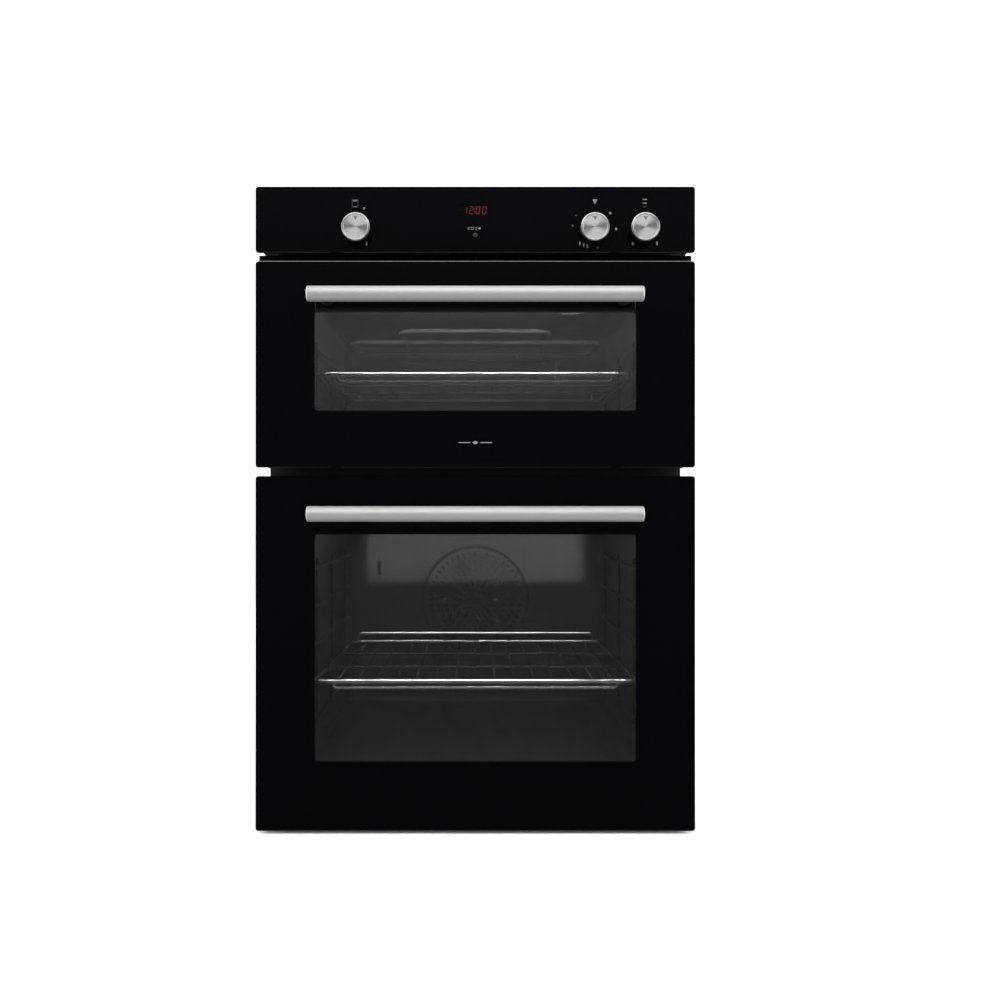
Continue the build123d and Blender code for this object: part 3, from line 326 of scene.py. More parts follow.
def galvanised():
    """Zinc-coated sheet: large flat crystals, rolled lines and pale bloom."""
    graph = Graph("galvanised_sheet")
    crystal = graph.cells(95.0, "Color")
    tone = graph.add("SeparateColor")
    graph.feed(tone.inputs[0], crystal)
    facet = tone.outputs[0]
    bloom = graph.spread(graph.noise(7.0, 6.0, 0.6), 0.0, 1.0, 0.45, 0.8, smooth=True)
    rolled_lines = graph.noise(300.0, 2.0, stretch=(1, 1, 0.02))
    colour = graph.blend(facet, (0.42, 0.44, 0.46), (0.56, 0.58, 0.6))
    colour = graph.blend(graph.math("MULTIPLY", bloom, 0.5), colour, (0.68, 0.69, 0.69))
    rough = graph.math("ADD", graph.spread(facet, 0.3, 0.46), graph.math("MULTIPLY", bloom, 0.12))
    normal = graph.bump(rolled_lines, 0.03 * MM, 0.35)
    return graph.finish(colour, rough, normal, Metallic=0.9)


def steel(name="bare_steel", tint=(0.46, 0.46, 0.47)):
    """Cold-rolled steel with fine scratches and a slight oil stain."""
    graph = Graph(name)
    scratch = graph.noise(500.0, 3.0, stretch=(1, 0.06, 1))
    stain = graph.spread(graph.noise(28.0, 5.0, 0.6), 0.0, 1.0, 0.5, 0.85, smooth=True)
    dark = tuple(0.62 * part for part in tint)
    colour = graph.blend(stain, tint, dark)
    return graph.finish(
        colour, graph.spread(scratch, 0.26, 0.42), graph.bump(scratch, 0.03 * MM, 0.4), Metallic=1.0
    )


def wire_chrome():
    """Chromed wire, clean where it is handled and darkened between its two ends by heat browning and
    painted shade.
    """
    graph = Graph("chromed_wire")
    _, depth, _ = graph.axes()
    shelf_low, shelf_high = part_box("upper_shelf")
    front_clean, front_fade = 20 * MM, 30 * MM
    rear_clean, rear_fade = 6 * MM, 25 * MM
    front = shelf_low.y + front_clean
    rear = shelf_high.y - rear_clean
    behind_rail = graph.spread(depth, 0.0, 1.0, front, front + front_fade, smooth=True)
    before_stop = graph.spread(depth, 1.0, 0.0, rear - rear_fade, rear, smooth=True)
    # dark middle of the shelf: heat browning together with painted shade, leaving the front rail and
    # rear stop bright
    browned_and_shaded = graph.math("MULTIPLY", behind_rail, before_stop)
    browned_and_shaded = graph.math("MULTIPLY", browned_and_shaded, graph.spread(graph.noise(30.0, 5.0), 0.45, 0.85))
    colour = graph.blend(browned_and_shaded, (0.82, 0.82, 0.83), (0.05, 0.044, 0.036))
    specks = worn(graph, 240.0, 0.66, 0.76)
    colour = graph.blend(graph.math("MULTIPLY", specks, 0.5), colour, (0.12, 0.09, 0.07))
    rough = graph.spread(graph.noise(140.0, 4.0), 0.16, 0.3)
    return graph.finish(colour, rough, Metallic=0.9)


def element_tube():
    """Sheathed heating element: matt grey-brown oxide with blue-grey patches."""
    graph = Graph("element_oxide")
    patch = graph.noise(55.0, 5.0, 0.6)
    colour = graph.blend(patch, (0.11, 0.105, 0.1), (0.19, 0.185, 0.185))
    fine = graph.noise(1400.0, 2.0)
    return graph.finish(
        colour, graph.spread(patch, 0.45, 0.65), graph.bump(fine, 0.06 * MM, 0.6), Metallic=0.15
    )


def handle_metal():
    """Bright aluminium, brushed along the bar, with faint finger marks."""
    graph = Graph("brushed_handle")
    brushed = graph.noise(1100.0, 3.0, 0.6, stretch=(0.012, 1, 1))
    tangent = graph.add("Tangent", direction_type="RADIAL", axis="X")
    fingers = graph.spread(graph.noise(26.0, 4.0, 0.6), 0.0, 1.0, 0.5, 0.8, smooth=True)
    colour = graph.blend(brushed, (0.78, 0.775, 0.755), (0.9, 0.895, 0.875))
    rough = graph.math("ADD", graph.spread(brushed, 0.5, 0.58), graph.math("MULTIPLY", fingers, 0.04))
    return graph.finish(
        colour,
        rough,
        graph.bump(brushed, 0.03 * MM, 0.4),
        Metallic=1.0,
        Anisotropic=0.6,
        Tangent=tangent.outputs[0],
    )


def knob_metal(name, axis):
    """Spun aluminium: rings turned about the knob's own axis, which stretch its highlights."""
    graph = Graph(name)
    x, _, z = graph.axes()
    across = graph.math("SUBTRACT", x, axis.x)
    up = graph.math("SUBTRACT", z, axis.z)
    radius = graph.math(
        "SQRT",
        graph.math("ADD", graph.math("POWER", across, 2.0), graph.math("POWER", up, 2.0)),
    )
    ring_pitch = 1.1 * MM
    ring = graph.math("SINE", graph.math("MULTIPLY", radius, 2 * math.pi / ring_pitch))
    ring = graph.spread(ring, 0.0, 1.0, -1.0, 1.0)
    broken = graph.math("MULTIPLY", ring, graph.noise(60.0, 3.0))
    colour = graph.blend(broken, (0.6, 0.6, 0.61), (0.76, 0.76, 0.77))
    tangent = graph.add("Tangent", direction_type="RADIAL", axis="Y")
    return graph.finish(
        colour,
        graph.spread(broken, 0.28, 0.2, 0.0, 0.8),
        graph.bump(broken, 0.006 * MM, 0.15),
        Metallic=1.0,
        Anisotropic=0.95,
        Anisotropic_Rotation=0.25,
        Tangent=tangent.outputs[0],
    )


# ---------------------------------------------------------------- enamel, plastic, rubber and wool


def enamel():
    """Dark speckled oven enamel with a patchy film of grease, painted near black as shade in the fan's
    well behind the cover.
    """
    graph = Graph("oven_enamel")
    speck = graph.spread(graph.cells(260.0), 1.0, 0.0, 0.08, 0.3, smooth=True)
    peel = graph.noise(60.0, 1.0)
    film = graph.spread(graph.noise(11.0, 6.0, 0.65), 0.0, 1.0, 0.5, 0.8, smooth=True)
    colour = graph.blend(graph.noise(40.0), (0.034, 0.036, 0.037), (0.048, 0.05, 0.051))
    colour = graph.blend(graph.math("MULTIPLY", speck, 0.04), colour, (0.3, 0.31, 0.32))
    colour = graph.blend(graph.math("MULTIPLY", film, 0.1), colour, (0.02, 0.017, 0.014))
    # past the back of the fan cover the enamel is painted near black: painted shade in the fan's well
    _, depth, _ = graph.axes()
    cover_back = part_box("fan_cover")[1].y
    well_shade = graph.spread(depth, 0.0, 0.92, cover_back + 1 * MM, cover_back + 5 * MM)
    colour = graph.blend(well_shade, colour, (0.002, 0.002, 0.002))
    rough = graph.math("ADD", graph.spread(peel, 0.34, 0.38), graph.math("MULTIPLY", film, 0.03))
    return graph.finish(colour, rough, graph.bump(peel, 0.04 * MM, 0.06))


def plastic(name, shade):
    """Moulded plastic with a fine spark-eroded grain."""
    graph = Graph(name)
    grain = graph.noise(1600.0, 2.0)
    dust = graph.spread(graph.noise(24.0, 5.0, 0.6), 0.0, 0.4, 0.4, 0.9)
    light = tuple(1.5 * part + 0.008 for part in shade)
    colour = graph.blend(dust, shade, light)
    return graph.finish(colour, graph.spread(grain, 0.48, 0.62), graph.bump(grain, 0.08 * MM, 0.5))


def seal_rubber():
    """Dark silicone seal, slightly chalky."""
    graph = Graph("silicone_seal")
    chalk = graph.spread(graph.noise(70.0, 6.0, 0.65), 0.0, 1.0, 0.45, 0.8, smooth=True)
    colour = graph.blend(chalk, (0.018, 0.018, 0.019), (0.05, 0.049, 0.047))
    return graph.finish(colour, graph.spread(chalk, 0.6, 0.8), graph.bump(chalk, 0.1 * MM, 0.5))


def mineral_wool():
    """Pale yellow-brown fibre blanket with tangled strands."""
    graph = Graph("mineral_wool")
    strand = graph.noise(380.0, 6.0, 0.75, stretch=(1, 0.25, 1))
    tangle = graph.noise(320.0, 6.0, 0.75, stretch=(0.25, 1, 0.8))
    fibre = graph.math("MAXIMUM", strand, tangle)
    clump = graph.noise(28.0, 5.0, 0.6)
    colour = graph.blend(fibre, (0.4, 0.34, 0.22), (0.72, 0.66, 0.5))
    colour = graph.blend(graph.math("MULTIPLY", clump, 0.4), colour, (0.55, 0.48, 0.33))
    return graph.finish(colour, 0.95, graph.bump(fibre, 1.2 * MM, 0.9), Sheen_Weight=0.15)


def ceramic():
    """Off-white lamp ceramic with brown firing specks."""
    graph = Graph("lamp_ceramic")
    speck = worn(graph, 300.0, 0.68, 0.76)
    colour = graph.blend(graph.noise(20.0), (0.68, 0.65, 0.57), (0.78, 0.75, 0.68))
    colour = graph.blend(graph.math("MULTIPLY", speck, 0.5), colour, (0.3, 0.22, 0.15))
    rough = graph.noise(90.0)
    return graph.finish(colour, graph.spread(rough, 0.5, 0.7), graph.bump(rough, 0.1 * MM, 0.4))


def printed(name, ink):
    """Screen-printed ink: slightly uneven cover on the glass."""
    graph = Graph(name)
    cover = graph.spread(graph.noise(1500.0, 3.0), 0.72, 1.0, 0.3, 0.6)
    thin = tuple(0.6 * part for part in ink)
    colour = graph.blend(cover, thin, ink)
    return graph.finish(colour, graph.spread(cover, 0.55, 0.42, 0.7, 1.0))


def display_face():
    """Smoked filter behind the clock's digits, faintly lit."""
    graph = Graph("display_filter")
    grain = graph.noise(900.0, 2.0)
    glow = graph.blend(grain, (0.16, 0.012, 0.012), (0.2, 0.018, 0.016))
    graph.feed(graph.shader.inputs["Emission Color"], glow)
    return graph.finish((0.004, 0.001, 0.001), graph.spread(grain, 0.3, 0.42), Emission_Strength=0.09)


def lit_segment():
    """Pinkish-red clock segment, a little unevenly lit."""
    graph = Graph("clock_segment")
    grain = graph.spread(graph.noise(2200.0, 2.0), 0.75, 1.0)
    glow = graph.blend(grain, (0.75, 0.08, 0.07), (1.0, 0.2, 0.15))
    graph.feed(graph.shader.inputs["Emission Color"], glow)
    return graph.finish((0.06, 0.01, 0.01), graph.spread(grain, 0.5, 0.4), Emission_Strength=0.9)


def floor_look():
    """Matt white studio floor with a faint roller texture."""
    graph = Graph("studio_floor")
    paint = graph.noise(40.0, 5.0)
    colour = graph.blend(paint, (0.9, 0.9, 0.9), (0.93, 0.93, 0.93))
    return graph.finish(colour, graph.spread(paint, 0.8, 0.92), graph.bump(paint, 0.3 * MM, 0.1))


# ---------------------------------------------------------------- looks of the CAD nodes


def window_of(oven):
    """Clear part of a door's glass, inside its printed border."""
    low, high = opening_box(f"{oven}_window_gap")
    top = UPPER_TOP_OVERLAP if oven == "upper" else BORDER_OVERLAP
    return low + Vector((BORDER_OVERLAP, 0, BORDER_OVERLAP)), high - Vector((BORDER_OVERLAP, 0, top))


def display_window():
    """Part of the clock module that shows through the control glass."""
    low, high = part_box("display_module")
    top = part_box("control_glass")[1].z - CLOCK_DROP
    return Vector((CLOCK_LEFT, low.y, top - CLOCK_HEIGHT)), Vector((CLOCK_RIGHT, high.y, top))


def dress_nodes():
    """Gives every CAD node the look of its slot, or one of its own; returns those of their own."""
    shared = {
        "clear_glass": clear_glass(),
        "black_sheet": black_sheet(),
        "door_aluminium": door_aluminium(),
        "galvanised": galvanised(),
        "enamel": enamel(),
        "handle_metal": handle_metal(),
        "wire_chrome": wire_chrome(),
        "steel": steel(),
        "element_tube": element_tube(),
        "black_plastic": plastic("black_moulding", (0.012, 0.012, 0.013)),
        "grey_plastic": plastic("grey_moulding", (0.2, 0.2, 0.205)),
        "seal_rubber": seal_rubber(),
        "mineral_wool": mineral_wool(),
        "lamp_glass": lamp_glass(),
        "ceramic_holder": ceramic(),
        "black_panel_glass": control_glass_look(),
    }
    # handle posts: near black, darker than the black moulding, as painted shade under the handle bars
    shaded_post_look = plastic("black_post_shaded", (0.003, 0.003, 0.0035))
    # side racks: dark browned steel, partly painted shade that keeps them dim along the walls
    browned_shaded_rack_look = steel("browned_shaded_rack", (0.13, 0.12, 0.11))
    own = {
        # the ring element and the fan, deep in the fan's well, are painted near black as shade
        "ring_element": steel("shaded_ring", (0.02, 0.02, 0.02)),
        "vent_trim": trim_black("vent_lacquer"),
        "oven_fan": steel("shaded_fan", (0.05, 0.05, 0.05)),
    }
    for oven in OVENS:
        own[f"{oven}_outer_glass"] = door_glass(f"{oven}_door_glass", window_of(oven), HAZE_AND_PAINTED_LIGHT[oven])
        own[f"{oven}_handle_posts"] = shaded_post_look
        own[f"{oven}_side_racks"] = browned_shaded_rack_look
    for side in KNOBS:
        own[f"{side}_knob"] = knob_metal(f"{side}_spun_metal", middle(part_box(f"{side}_knob")))
    for part in frame["record"]["subparts"]:
        node = frame["nodes"][part["node"]]
        look = own.get(part["node"]) or shared[part["material_slot"]]
        node.data.materials.clear()
        node.data.materials.append(look)
    return own


# ---------------------------------------------------------------- mesh helpers


ROUND_STEPS = 128  # flats around a turned piece
SHARP_ANGLE = math.radians(28)


def new_piece(name, mesh, look, body):
    """Adds a mesh that moves with one body of the part."""
    mesh.materials.append(look)
    piece = bpy.data.objects.new(name, mesh)
    bpy.context.scene.collection.objects.link(piece)
    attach(piece, body)
    return piece


def circle(u, v, radius, points=20):
    """Corners of a round outline about (u, v)."""
    turns = [2 * math.pi * n / points for n in range(points)]
    return [(u + radius * math.cos(turn), v + radius * math.sin(turn)) for turn in turns]


def prism(build, near, far):
    """Adds a closed solid between two outlines that have the same number of corners."""
    near = [build.verts.new(corner) for corner in near]
    far = [build.verts.new(corner) for corner in far]
    build.faces.new(near)
    build.faces.new(reversed(far))
    for this in range(len(near)):
        after = (this + 1) % len(near)
        build.faces.new((near[after], near[this], far[this], far[after]))


def as_mesh(name, build):
    """What was built, as a mesh whose faces all look outwards."""
    bmesh.ops.recalc_face_normals(build, faces=build.faces)
    mesh = bpy.data.meshes.new(name)
    build.to_mesh(mesh)
    build.free()
    return mesh


def plates(name, outlines, front, thickness, look, body):
    """Thin flat plates that face -Y, one for each outline of (x, z) points."""
    build = bmesh.new()
    for outline in outlines:
        near = [(x, front, z) for x, z in outline]
        far = [(x, front + thickness, z) for x, z in outline]
        prism(build, near, far)
    return new_piece(name, as_mesh(name, build), look, body)


def turned(name, profile, centre, look, body):
    """Solid of revolution about Y, from (radius, y) points: front middle to back middle."""
    build = bmesh.new()
    rings = []
    for radius, y in profile:
        count = ROUND_STEPS if radius > 0 else 1
        ring = circle(centre.x, centre.z, radius, ROUND_STEPS)[:count]
        rings.append([build.verts.new((x, y, z)) for x, z in ring])
    for front, back in zip(rings, rings[1:]):
        for this in range(ROUND_STEPS):
            after = (this + 1) % ROUND_STEPS
            corners = [front[this % len(front)], front[after % len(front)]]
            corners += [back[after % len(back)], back[this % len(back)]]
            build.faces.new(list(dict.fromkeys(corners)))
    mesh = as_mesh(name, build)
    mesh.shade_smooth()
    mesh.set_sharp_from_angle(angle=SHARP_ANGLE)
    return new_piece(name, mesh, look, body)


def bar(x, z, width, height):
    """Outline of a rectangle about (x, z)."""
    half, tall = width / 2, height / 2
    return [(x - half, z - tall), (x + half, z - tall), (x + half, z + tall), (x - half, z + tall)]


def wedge(x, z, width, height):
    """Outline of a triangle that points down."""
    return [(x - width / 2, z + height / 2), (x, z - height / 2), (x + width / 2, z + height / 2)]


def frame_bars(x, z, width, height, line):
    """Four bars around a rectangle."""
    tall = height - 2 * line
    return [
        bar(x, z + (height - line) / 2, width, line),
        bar(x, z - (height - line) / 2, width, line),
        bar(x - (width - line) / 2, z, line, tall),
        bar(x + (width - line) / 2, z, line, tall),
    ]


def in_millimetres(outlines, origin_x, origin_z):
    """Outlines given in millimetres about a point, as metres in the row frame."""
    return [[(origin_x + x * MM, origin_z + z * MM) for x, z in outline] for outline in outlines]


# ---------------------------------------------------------------- new pieces

INK_PROUD = 0.05 * MM  # printed marks stand this far in front of the glass
INK_DEPTH = 0.06 * MM  # and reach a little into it

def make_knobs(looks):
    """Finer knobs: a metal cap with a dished face and a bright rim, on a black tapered skirt."""
    skirt_look = trim_black("knob_skirt_black")
    pointer_ink = printed("pointer_ink", (0.1, 0.1, 0.105))
    dish = 0.5 * MM
    cap_depth = 3.2 * MM
    seam = 0.05 * MM
    skirt_gap = 1.2 * MM
    shaft_radius = 3.9 * MM
    for side in KNOBS:
        low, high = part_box(f"{side}_knob")
        centre = middle((low, high))
        radius = (high.x - low.x) / 2
        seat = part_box("control_glass")[0].y
        front = low.y
        skirt_end = seat - skirt_gap
        cap_end = front + cap_depth
        cap_profile = [
            (0.0, front + dish),
            (0.84 * radius, front + dish),
            (0.865 * radius, front + 0.1 * MM),
            (0.88 * radius, front),
            (0.955 * radius, front),
            (0.985 * radius, front + 0.25 * MM),
            (radius, front + 0.9 * MM),
            (radius, cap_end),
            (0.0, cap_end),
        ]
        skirt_profile = [
            (0.0, cap_end + seam),
            (0.975 * radius, cap_end + seam),
            (0.93 * radius, skirt_end - 0.5 * MM),
            (0.9 * radius, skirt_end),
            (shaft_radius, skirt_end),
            (shaft_radius, high.y),
            (0.0, high.y),
        ]
        body = f"{side}_knob"
        cap = turned(f"{side}_knob_cap", cap_profile, centre, looks[body], body)
        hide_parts(body)
        turned(f"{side}_knob_skirt", skirt_profile, centre, skirt_look, body)
        pointer = in_millimetres([wedge(0, 11.2, 6.4, 5.6)], centre.x, centre.z)
        face = front + dish
        plates(f"{side}_knob_pointer", pointer, face - INK_PROUD, 0.08 * MM, pointer_ink, body)


def make_dial_marks():
    """Printed marks around the knobs, in millimetres from each knob's axis."""
    ink = printed("dial_ink", (0.12, 0.12, 0.135))
    dim_ink = printed("dial_ink_dim", (0.022, 0.022, 0.026))
    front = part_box("control_glass")[0].y - INK_PROUD
    left_bars = [bar(-3.4, 41.7, 6, 1.4), bar(-3.4, 33.5, 5, 1.2), bar(12, -16.5, 1.6, 5)]
    right_bars = [bar(2.8, 43.3, 5.6, 1.4), bar(2.8, 38.3, 5.6, 1.3)]
    right_ticks = [bar(-13.6, -16.3, 1.9, 4.4), bar(19.2, -15.9, 2.2, 4.8)]
    middle_ticks = [bar(-17.8 + 5.1 * n, -16.1 - 1.9 * n, 1.7, 4.6) for n in range(3)]
    middle_dots = [circle(23.2, 24.9, 1.7), circle(31.2, 3.4, 1.7)]
    middle_dim = [circle(-27.8, 7.9, 1.6), circle(6.4, -21.7, 1.6), bar(-22.7, 22, 3.4, 1.3)]
    marks = {
        "left": (left_bars + [circle(8.8, 31.3, 1.5)], frame_bars(-3.4, 37.9, 8.4, 10.6, 0.6)),
        "middle": ([wedge(2.6, 40.1, 6.6, 6.6)] + middle_ticks + middle_dots, middle_dim),
        "right": (right_bars + right_ticks, [bar(2.8, 33.7, 4.6, 1.1)]),
    }
    for side, (bright, dim) in marks.items():
        axis = middle(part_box(f"{side}_knob"))
        for label, outlines, look in (("marks", bright, ink), ("marks_dim", dim, dim_ink)):
            shapes = in_millimetres(outlines, axis.x, axis.z)
            plates(f"{side}_knob_{label}", shapes, front, INK_DEPTH, look, "chassis")


def make_clock_symbols():
    """Row of small plain symbols above the timer button, in millimetres from its axis."""
    ink = printed("symbol_ink", (0.12, 0.12, 0.13))
    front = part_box("control_glass")[0].y - INK_PROUD
    button = middle(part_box("timer_button"))
    row = 8.6
    shapes = [bar(-9.2, row, 2.6, 1.0), bar(-9.2, row + 1.9, 1.4, 0.9)]
    shapes += frame_bars(-4.2, row + 0.6, 3.6, 3.4, 0.6)
    shapes += [bar(1.0, row - 0.4, 2.6, 0.9), bar(1.0, row + 1.6, 2.6, 0.9), circle(5.6, row + 0.6, 1.5)]
    placed = in_millimetres(shapes, button.x, button.z)
    plates("clock_symbols", placed, front, INK_DEPTH, ink, "chassis")


def make_door_mark():
    """Plain generic ornament: a small lozenge between two short lines."""
    ink = printed("door_ink", (0.16, 0.16, 0.17))
    glass_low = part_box("upper_outer_glass")[0]
    window_low = opening_box("upper_window_gap")[0]
    height = (glass_low.z + window_low.z) / 2
    lozenge = [(-4.2, 0), (0, -2.6), (4.2, 0), (0, 2.6)]
    shapes = in_millimetres([bar(-14.6, 0, 16, 1.3), lozenge, bar(14.6, 0, 16, 1.3)], 0.0, height)
    plates("door_ornament", shapes, glass_low.y - INK_PROUD, INK_DEPTH, ink, "upper_door")


def make_door_arris():
    """Ground upper edge of the upper door's glass, which catches the light as a thin line."""
    low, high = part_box("upper_outer_glass")
    radius = 0.5 * MM
    end_margin = 4 * MM
    half = (high.x - low.x) / 2 - end_margin
    edge = circle(low.y + radius, high.z, radius, 12)
    build = bmesh.new()
    prism(build, [(-half, y, z) for y, z in edge], [(half, y, z) for y, z in edge])
    name = "upper_door_arris"
    new_piece(name, as_mesh(name, build), ground_edge(), "upper_door")


SEGMENTS = {
    "top": ((0, 1), (1, 1)),
    "middle": ((0, 0.5), (1, 0.5)),
    "bottom": ((0, 0), (1, 0)),
    "upper_left": ((0, 0.5), (0, 1)),
    "upper_right": ((1, 0.5), (1, 1)),
    "lower_left": ((0, 0), (0, 0.5)),
    "lower_right": ((1, 0), (1, 0.5)),
}
DIGITS = {
    "0": ("top", "bottom", "upper_left", "upper_right", "lower_left", "lower_right"),
    "1": ("upper_right", "lower_right"),
    "2": ("top", "upper_right", "middle", "lower_left", "bottom"),
}


def segment_outline(start, end, width):
    """Six-sided segment from start to end, with pointed ends."""
    along = (Vector(end) - Vector(start)).normalized()
    across = Vector((-along.y, along.x)) * width / 2
    gap = along * width * 0.16
    start, end = Vector(start) + gap, Vector(end) - gap
    shoulder = along * width / 2
    return [
        start,
        start + shoulder - across,
        end - shoulder - across,
        end,
        end - shoulder + across,
        start + shoulder + across,
    ]


def make_clock():
    """Four lit seven-segment digits and a colon behind the control glass."""
    low, high = display_window()
    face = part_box("display_module")[0].y
    digit_width, digit_height, line = 4.6 * MM, 9.2 * MM, 1.35 * MM
    lean = 0.09  # sideways for each step up
    dot_radius = 0.75 * MM
    centre = (low + high) / 2
    base = centre.z - digit_height / 2
    pitch = 8.8 * MM
    first = centre.x - 1.5 * pitch - digit_width / 2
    shapes = []
    for place, digit in enumerate("1200"):
        left = first + place * pitch
        for segment in DIGITS[digit]:
            ends = [
                (left + u * digit_width + v * digit_height * lean, base + v * digit_height)
                for u, v in SEGMENTS[segment]
            ]
            shapes.append(segment_outline(*ends, line))
    colon = first + 1.5 * pitch + digit_width / 2
    for part in (0.3, 0.7):
        up = part * digit_height
        shapes.append(circle(colon + up * lean, base + up, dot_radius, 12))
    digit_front = face - 0.22 * MM
    plates("clock_digits", shapes, digit_front, 0.1 * MM, lit_segment(), "chassis")
    edge = 0.4 * MM
    panel = [bar(centre.x, centre.z, high.x - low.x + 2 * edge, high.z - low.z + 2 * edge)]
    filter_front = face - 0.08 * MM
    plates("clock_filter", panel, filter_front, 0.06 * MM, display_face(), "chassis")


# ---------------------------------------------------------------- studio


def make_floor():
    """Wide white floor just under the part."""
    reach = 14.0
    drop = 0.2 * MM
    mesh = bpy.data.meshes.new("floor")
    corners = [(-reach, -reach, 0), (reach, -reach, 0), (reach, reach, 0), (-reach, reach, 0)]
    mesh.from_pydata(corners, [], [(0, 1, 2, 3)])
    mesh.materials.append(floor_look())
    floor = bpy.data.objects.new("floor", mesh)
    bpy.context.scene.collection.objects.link(floor)
    floor.location.z = cad_box[0].z - drop
    floor.visible_glossy = False


WALLS = ((0.0, 0.45), (0.26, 0.6), (0.42, 0.8), (0.6, 1.2), (0.72, 3.0), (0.82, 0.75), (1.0, 0.6))
FILL_LEVEL = 1.4  # what the world lights the part with, beside its reflections
GAP_WIDTH = 0.8  # sideways and upwards reach of the dark gap that the door glass mirrors
GAP_HEIGHT = 0.405
FLANK_START = 0.33  # the gap is higher, and a little less dark, past this far to each side
FLANK_HEIGHT = 0.7


def make_world():
    """White studio. Reflections see WALLS, from the floor up, with a dark gap behind the camera."""
    world = bpy.data.worlds.new("studio")
    bpy.context.scene.world = world
    world.use_nodes = True
    tree = Tree(world.node_tree)
    calc = tree.math
    direction = tree.add("SeparateXYZ")
    tree.feed(direction.inputs[0], tree.add("TexCoord").outputs["Generated"])
    x, y, z = direction.outputs

    ramp = tree.add("ValToRGB")
    tree.feed(ramp.inputs[0], calc("ADD", calc("MULTIPLY", z, 0.5), 0.5))
    marks = ramp.color_ramp.elements
    while len(marks) < len(WALLS):
        marks.new(0.5)
    for mark, (position, level) in zip(marks, WALLS):
        mark.position = position
        mark.color = (level, level, level, 1)

    def within(axis, reach, sharpness):
        """1 where the direction is nearer to the middle than reach, fading to 0."""
        room = calc("SUBTRACT", reach, calc("ABSOLUTE", axis))
        return calc("MULTIPLY", room, sharpness, clamp=True)

    behind = calc("LESS_THAN", y, 0.0)
    narrow = within(x, GAP_WIDTH, 12.0)
    gap = calc("MULTIPLY", calc("MULTIPLY", narrow, within(z, GAP_HEIGHT, 25.0)), behind)
    past_start = calc("SUBTRACT", calc("ABSOLUTE", x), FLANK_START)
    aside = calc("MULTIPLY", past_start, 12.0, clamp=True)
    raised = within(z, FLANK_HEIGHT, 12.0)
    flank = calc("MULTIPLY", calc("MULTIPLY", calc("MULTIPLY", aside, narrow), raised), behind)
    dark = calc("MAXIMUM", calc("MULTIPLY", gap, 0.97), calc("MULTIPLY", flank, 0.85))
    seen = calc("MULTIPLY", ramp.outputs[0], calc("SUBTRACT", 1.0, dark))

    glossy = tree.add("LightPath").outputs["Is Glossy Ray"]
    plain = calc("MULTIPLY", calc("SUBTRACT", 1.0, glossy), FILL_LEVEL)
    background = tree.nodes["Background"]
    background.inputs["Color"].default_value = (1.0, 1.0, 1.0, 1)
    tree.feed(background.inputs["Strength"], calc("ADD", plain, calc("MULTIPLY", glossy, seen)))


# Watts
KEY_POWER = 8
FILL_POWER = 10
BACK_POWER = 30
FLOOR_POWER = 9
CAVITY_POWER = {"upper": 0.55, "lower": 0.3}
RAIL_POWER = {"upper": {"front": 0.022}, "lower": {"front": 0.018, "rear": 0.008}}
BAND_POWER = 0.18


def area_light(name, place, target, width, height, power, spread=180.0):
    """Rectangular light at place that shines towards target, unseen by the camera."""
    light = bpy.data.lights.new(name, "AREA")
    light.shape = "RECTANGLE"
    light.size = width
    light.size_y = height
    light.energy = power
    light.spread = math.radians(spread)
    lamp = bpy.data.objects.new(name, light)
    bpy.context.scene.collection.objects.link(lamp)
    lamp.location = place
    lamp.rotation_euler = (Vector(target) - Vector(place)).to_track_quat("-Z", "Y").to_euler()
    lamp.visible_camera = False
    return lamp


def make_room_lights():
    """Key above, a fill on each side and one light from behind."""
    centre = middle(cad_box)
    front = cad_box[0].y
    area_light("key", (0, front - 1.25, centre.z + 1.9), centre, 2.4, 0.8, KEY_POWER)
    for side in (-1, 1):
        place = (side * 2.3, front - 0.7, centre.z + 0.5)
        area_light(f"fill_{'left' if side < 0 else 'right'}", place, centre, 1.0, 1.4, FILL_POWER)
    area_light("back_light", (0, 2.4, centre.z + 1.3), centre, 2.0, 1.2, BACK_POWER)


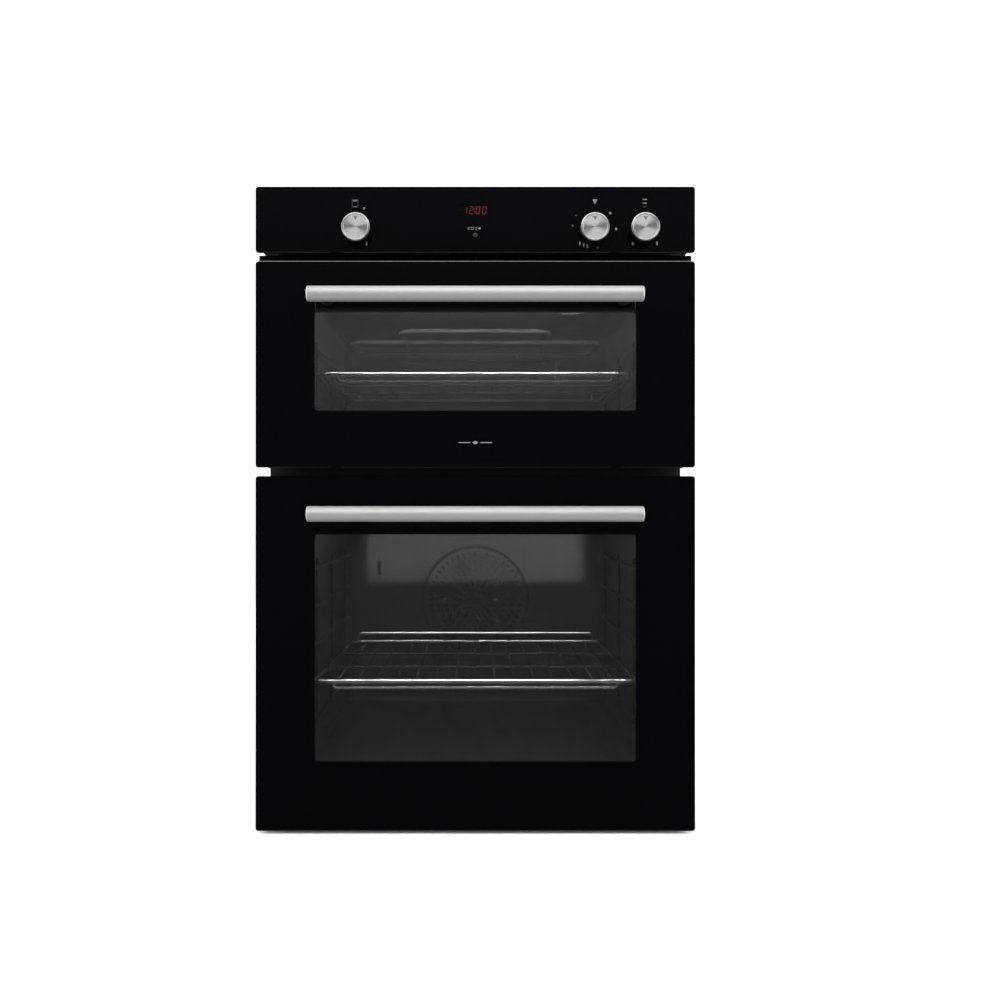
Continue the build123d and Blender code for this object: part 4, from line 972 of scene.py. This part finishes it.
def make_oven_lights(oven):
    """Soft light from the front of the ceiling, and thin strips over the ends of the shelf."""
    low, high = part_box(f"{oven}_cavity")
    place = (0, low.y + 40 * MM, high.z - 22 * MM)
    floor_middle = (0, high.y - 0.1, low.z + 0.1)
    inside = area_light(f"{oven}_cavity_light", place, floor_middle, 0.4, 0.03, CAVITY_POWER[oven])
    inside.visible_glossy = False
    shelf_low, shelf_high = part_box(f"{oven}_shelf")
    ends = {"front": shelf_low.y + 4 * MM, "rear": shelf_high.y - 3 * MM}
    rail_height = 13 * MM
    rail_length, strip = 0.44, 8 * MM
    for end, power in RAIL_POWER[oven].items():
        rail = Vector((0, ends[end], shelf_low.z + rail_height))
        above = rail + Vector((0, -4 * MM, 60 * MM))
        area_light(f"{oven}_{end}_rail_light", above, rail, rail_length, strip, power, spread=24)


def make_floor_light():
    """Lights the floor before the part, unseen in its reflections."""
    front = cad_box[0].y
    light = area_light("floor_light", (0, front - 0.6, 1.3), (0, front - 0.4, 0), 2.2, 0.6, FLOOR_POWER)
    light.visible_glossy = False


def make_band_light():
    """Narrow beam on the lower oven's rear wall, from part way up the fan cover to the ceiling."""
    up_the_cover = 0.135
    below_ceiling = 18 * MM
    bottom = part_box("fan_cover")[0].z + up_the_cover
    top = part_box("lower_cavity")[1].z - below_ceiling
    place = (0, -0.17, (bottom + top) / 2)
    ahead = (0, 1, place[2])
    light = area_light("lower_band_light", place, ahead, 0.4, top - bottom, BAND_POWER, spread=9)
    light.visible_glossy = False


SENSOR_WIDTH = 36.0  # in millimetres, as is the lens
LENS = 30.35
CAMERA_PLACE = (0, -1.454, 0.4411)  # in metres, as everything else
CAMERA_SHIFT = (0.0247, 0.008)  # parts of the frame's width


def make_camera():
    """Straight-on view from the middle height, as far as the photograph was taken from."""
    camera = bpy.data.cameras.new("camera")
    camera.sensor_width = SENSOR_WIDTH
    camera.lens = LENS
    camera.shift_x, camera.shift_y = CAMERA_SHIFT
    stand = bpy.data.objects.new("camera", camera)
    bpy.context.scene.collection.objects.link(stand)
    stand.location = CAMERA_PLACE
    stand.rotation_euler = (math.radians(90), 0, 0)
    bpy.context.scene.camera = stand


looks = dress_nodes()
make_knobs(looks)
make_dial_marks()
make_clock_symbols()
make_door_mark()
make_clock()
make_door_arris()
make_floor()
make_world()
make_room_lights()
for oven in OVENS:
    make_oven_lights(oven)
make_floor_light()
make_band_light()
make_camera()
bpy.context.scene.view_settings.view_transform = "Standard"
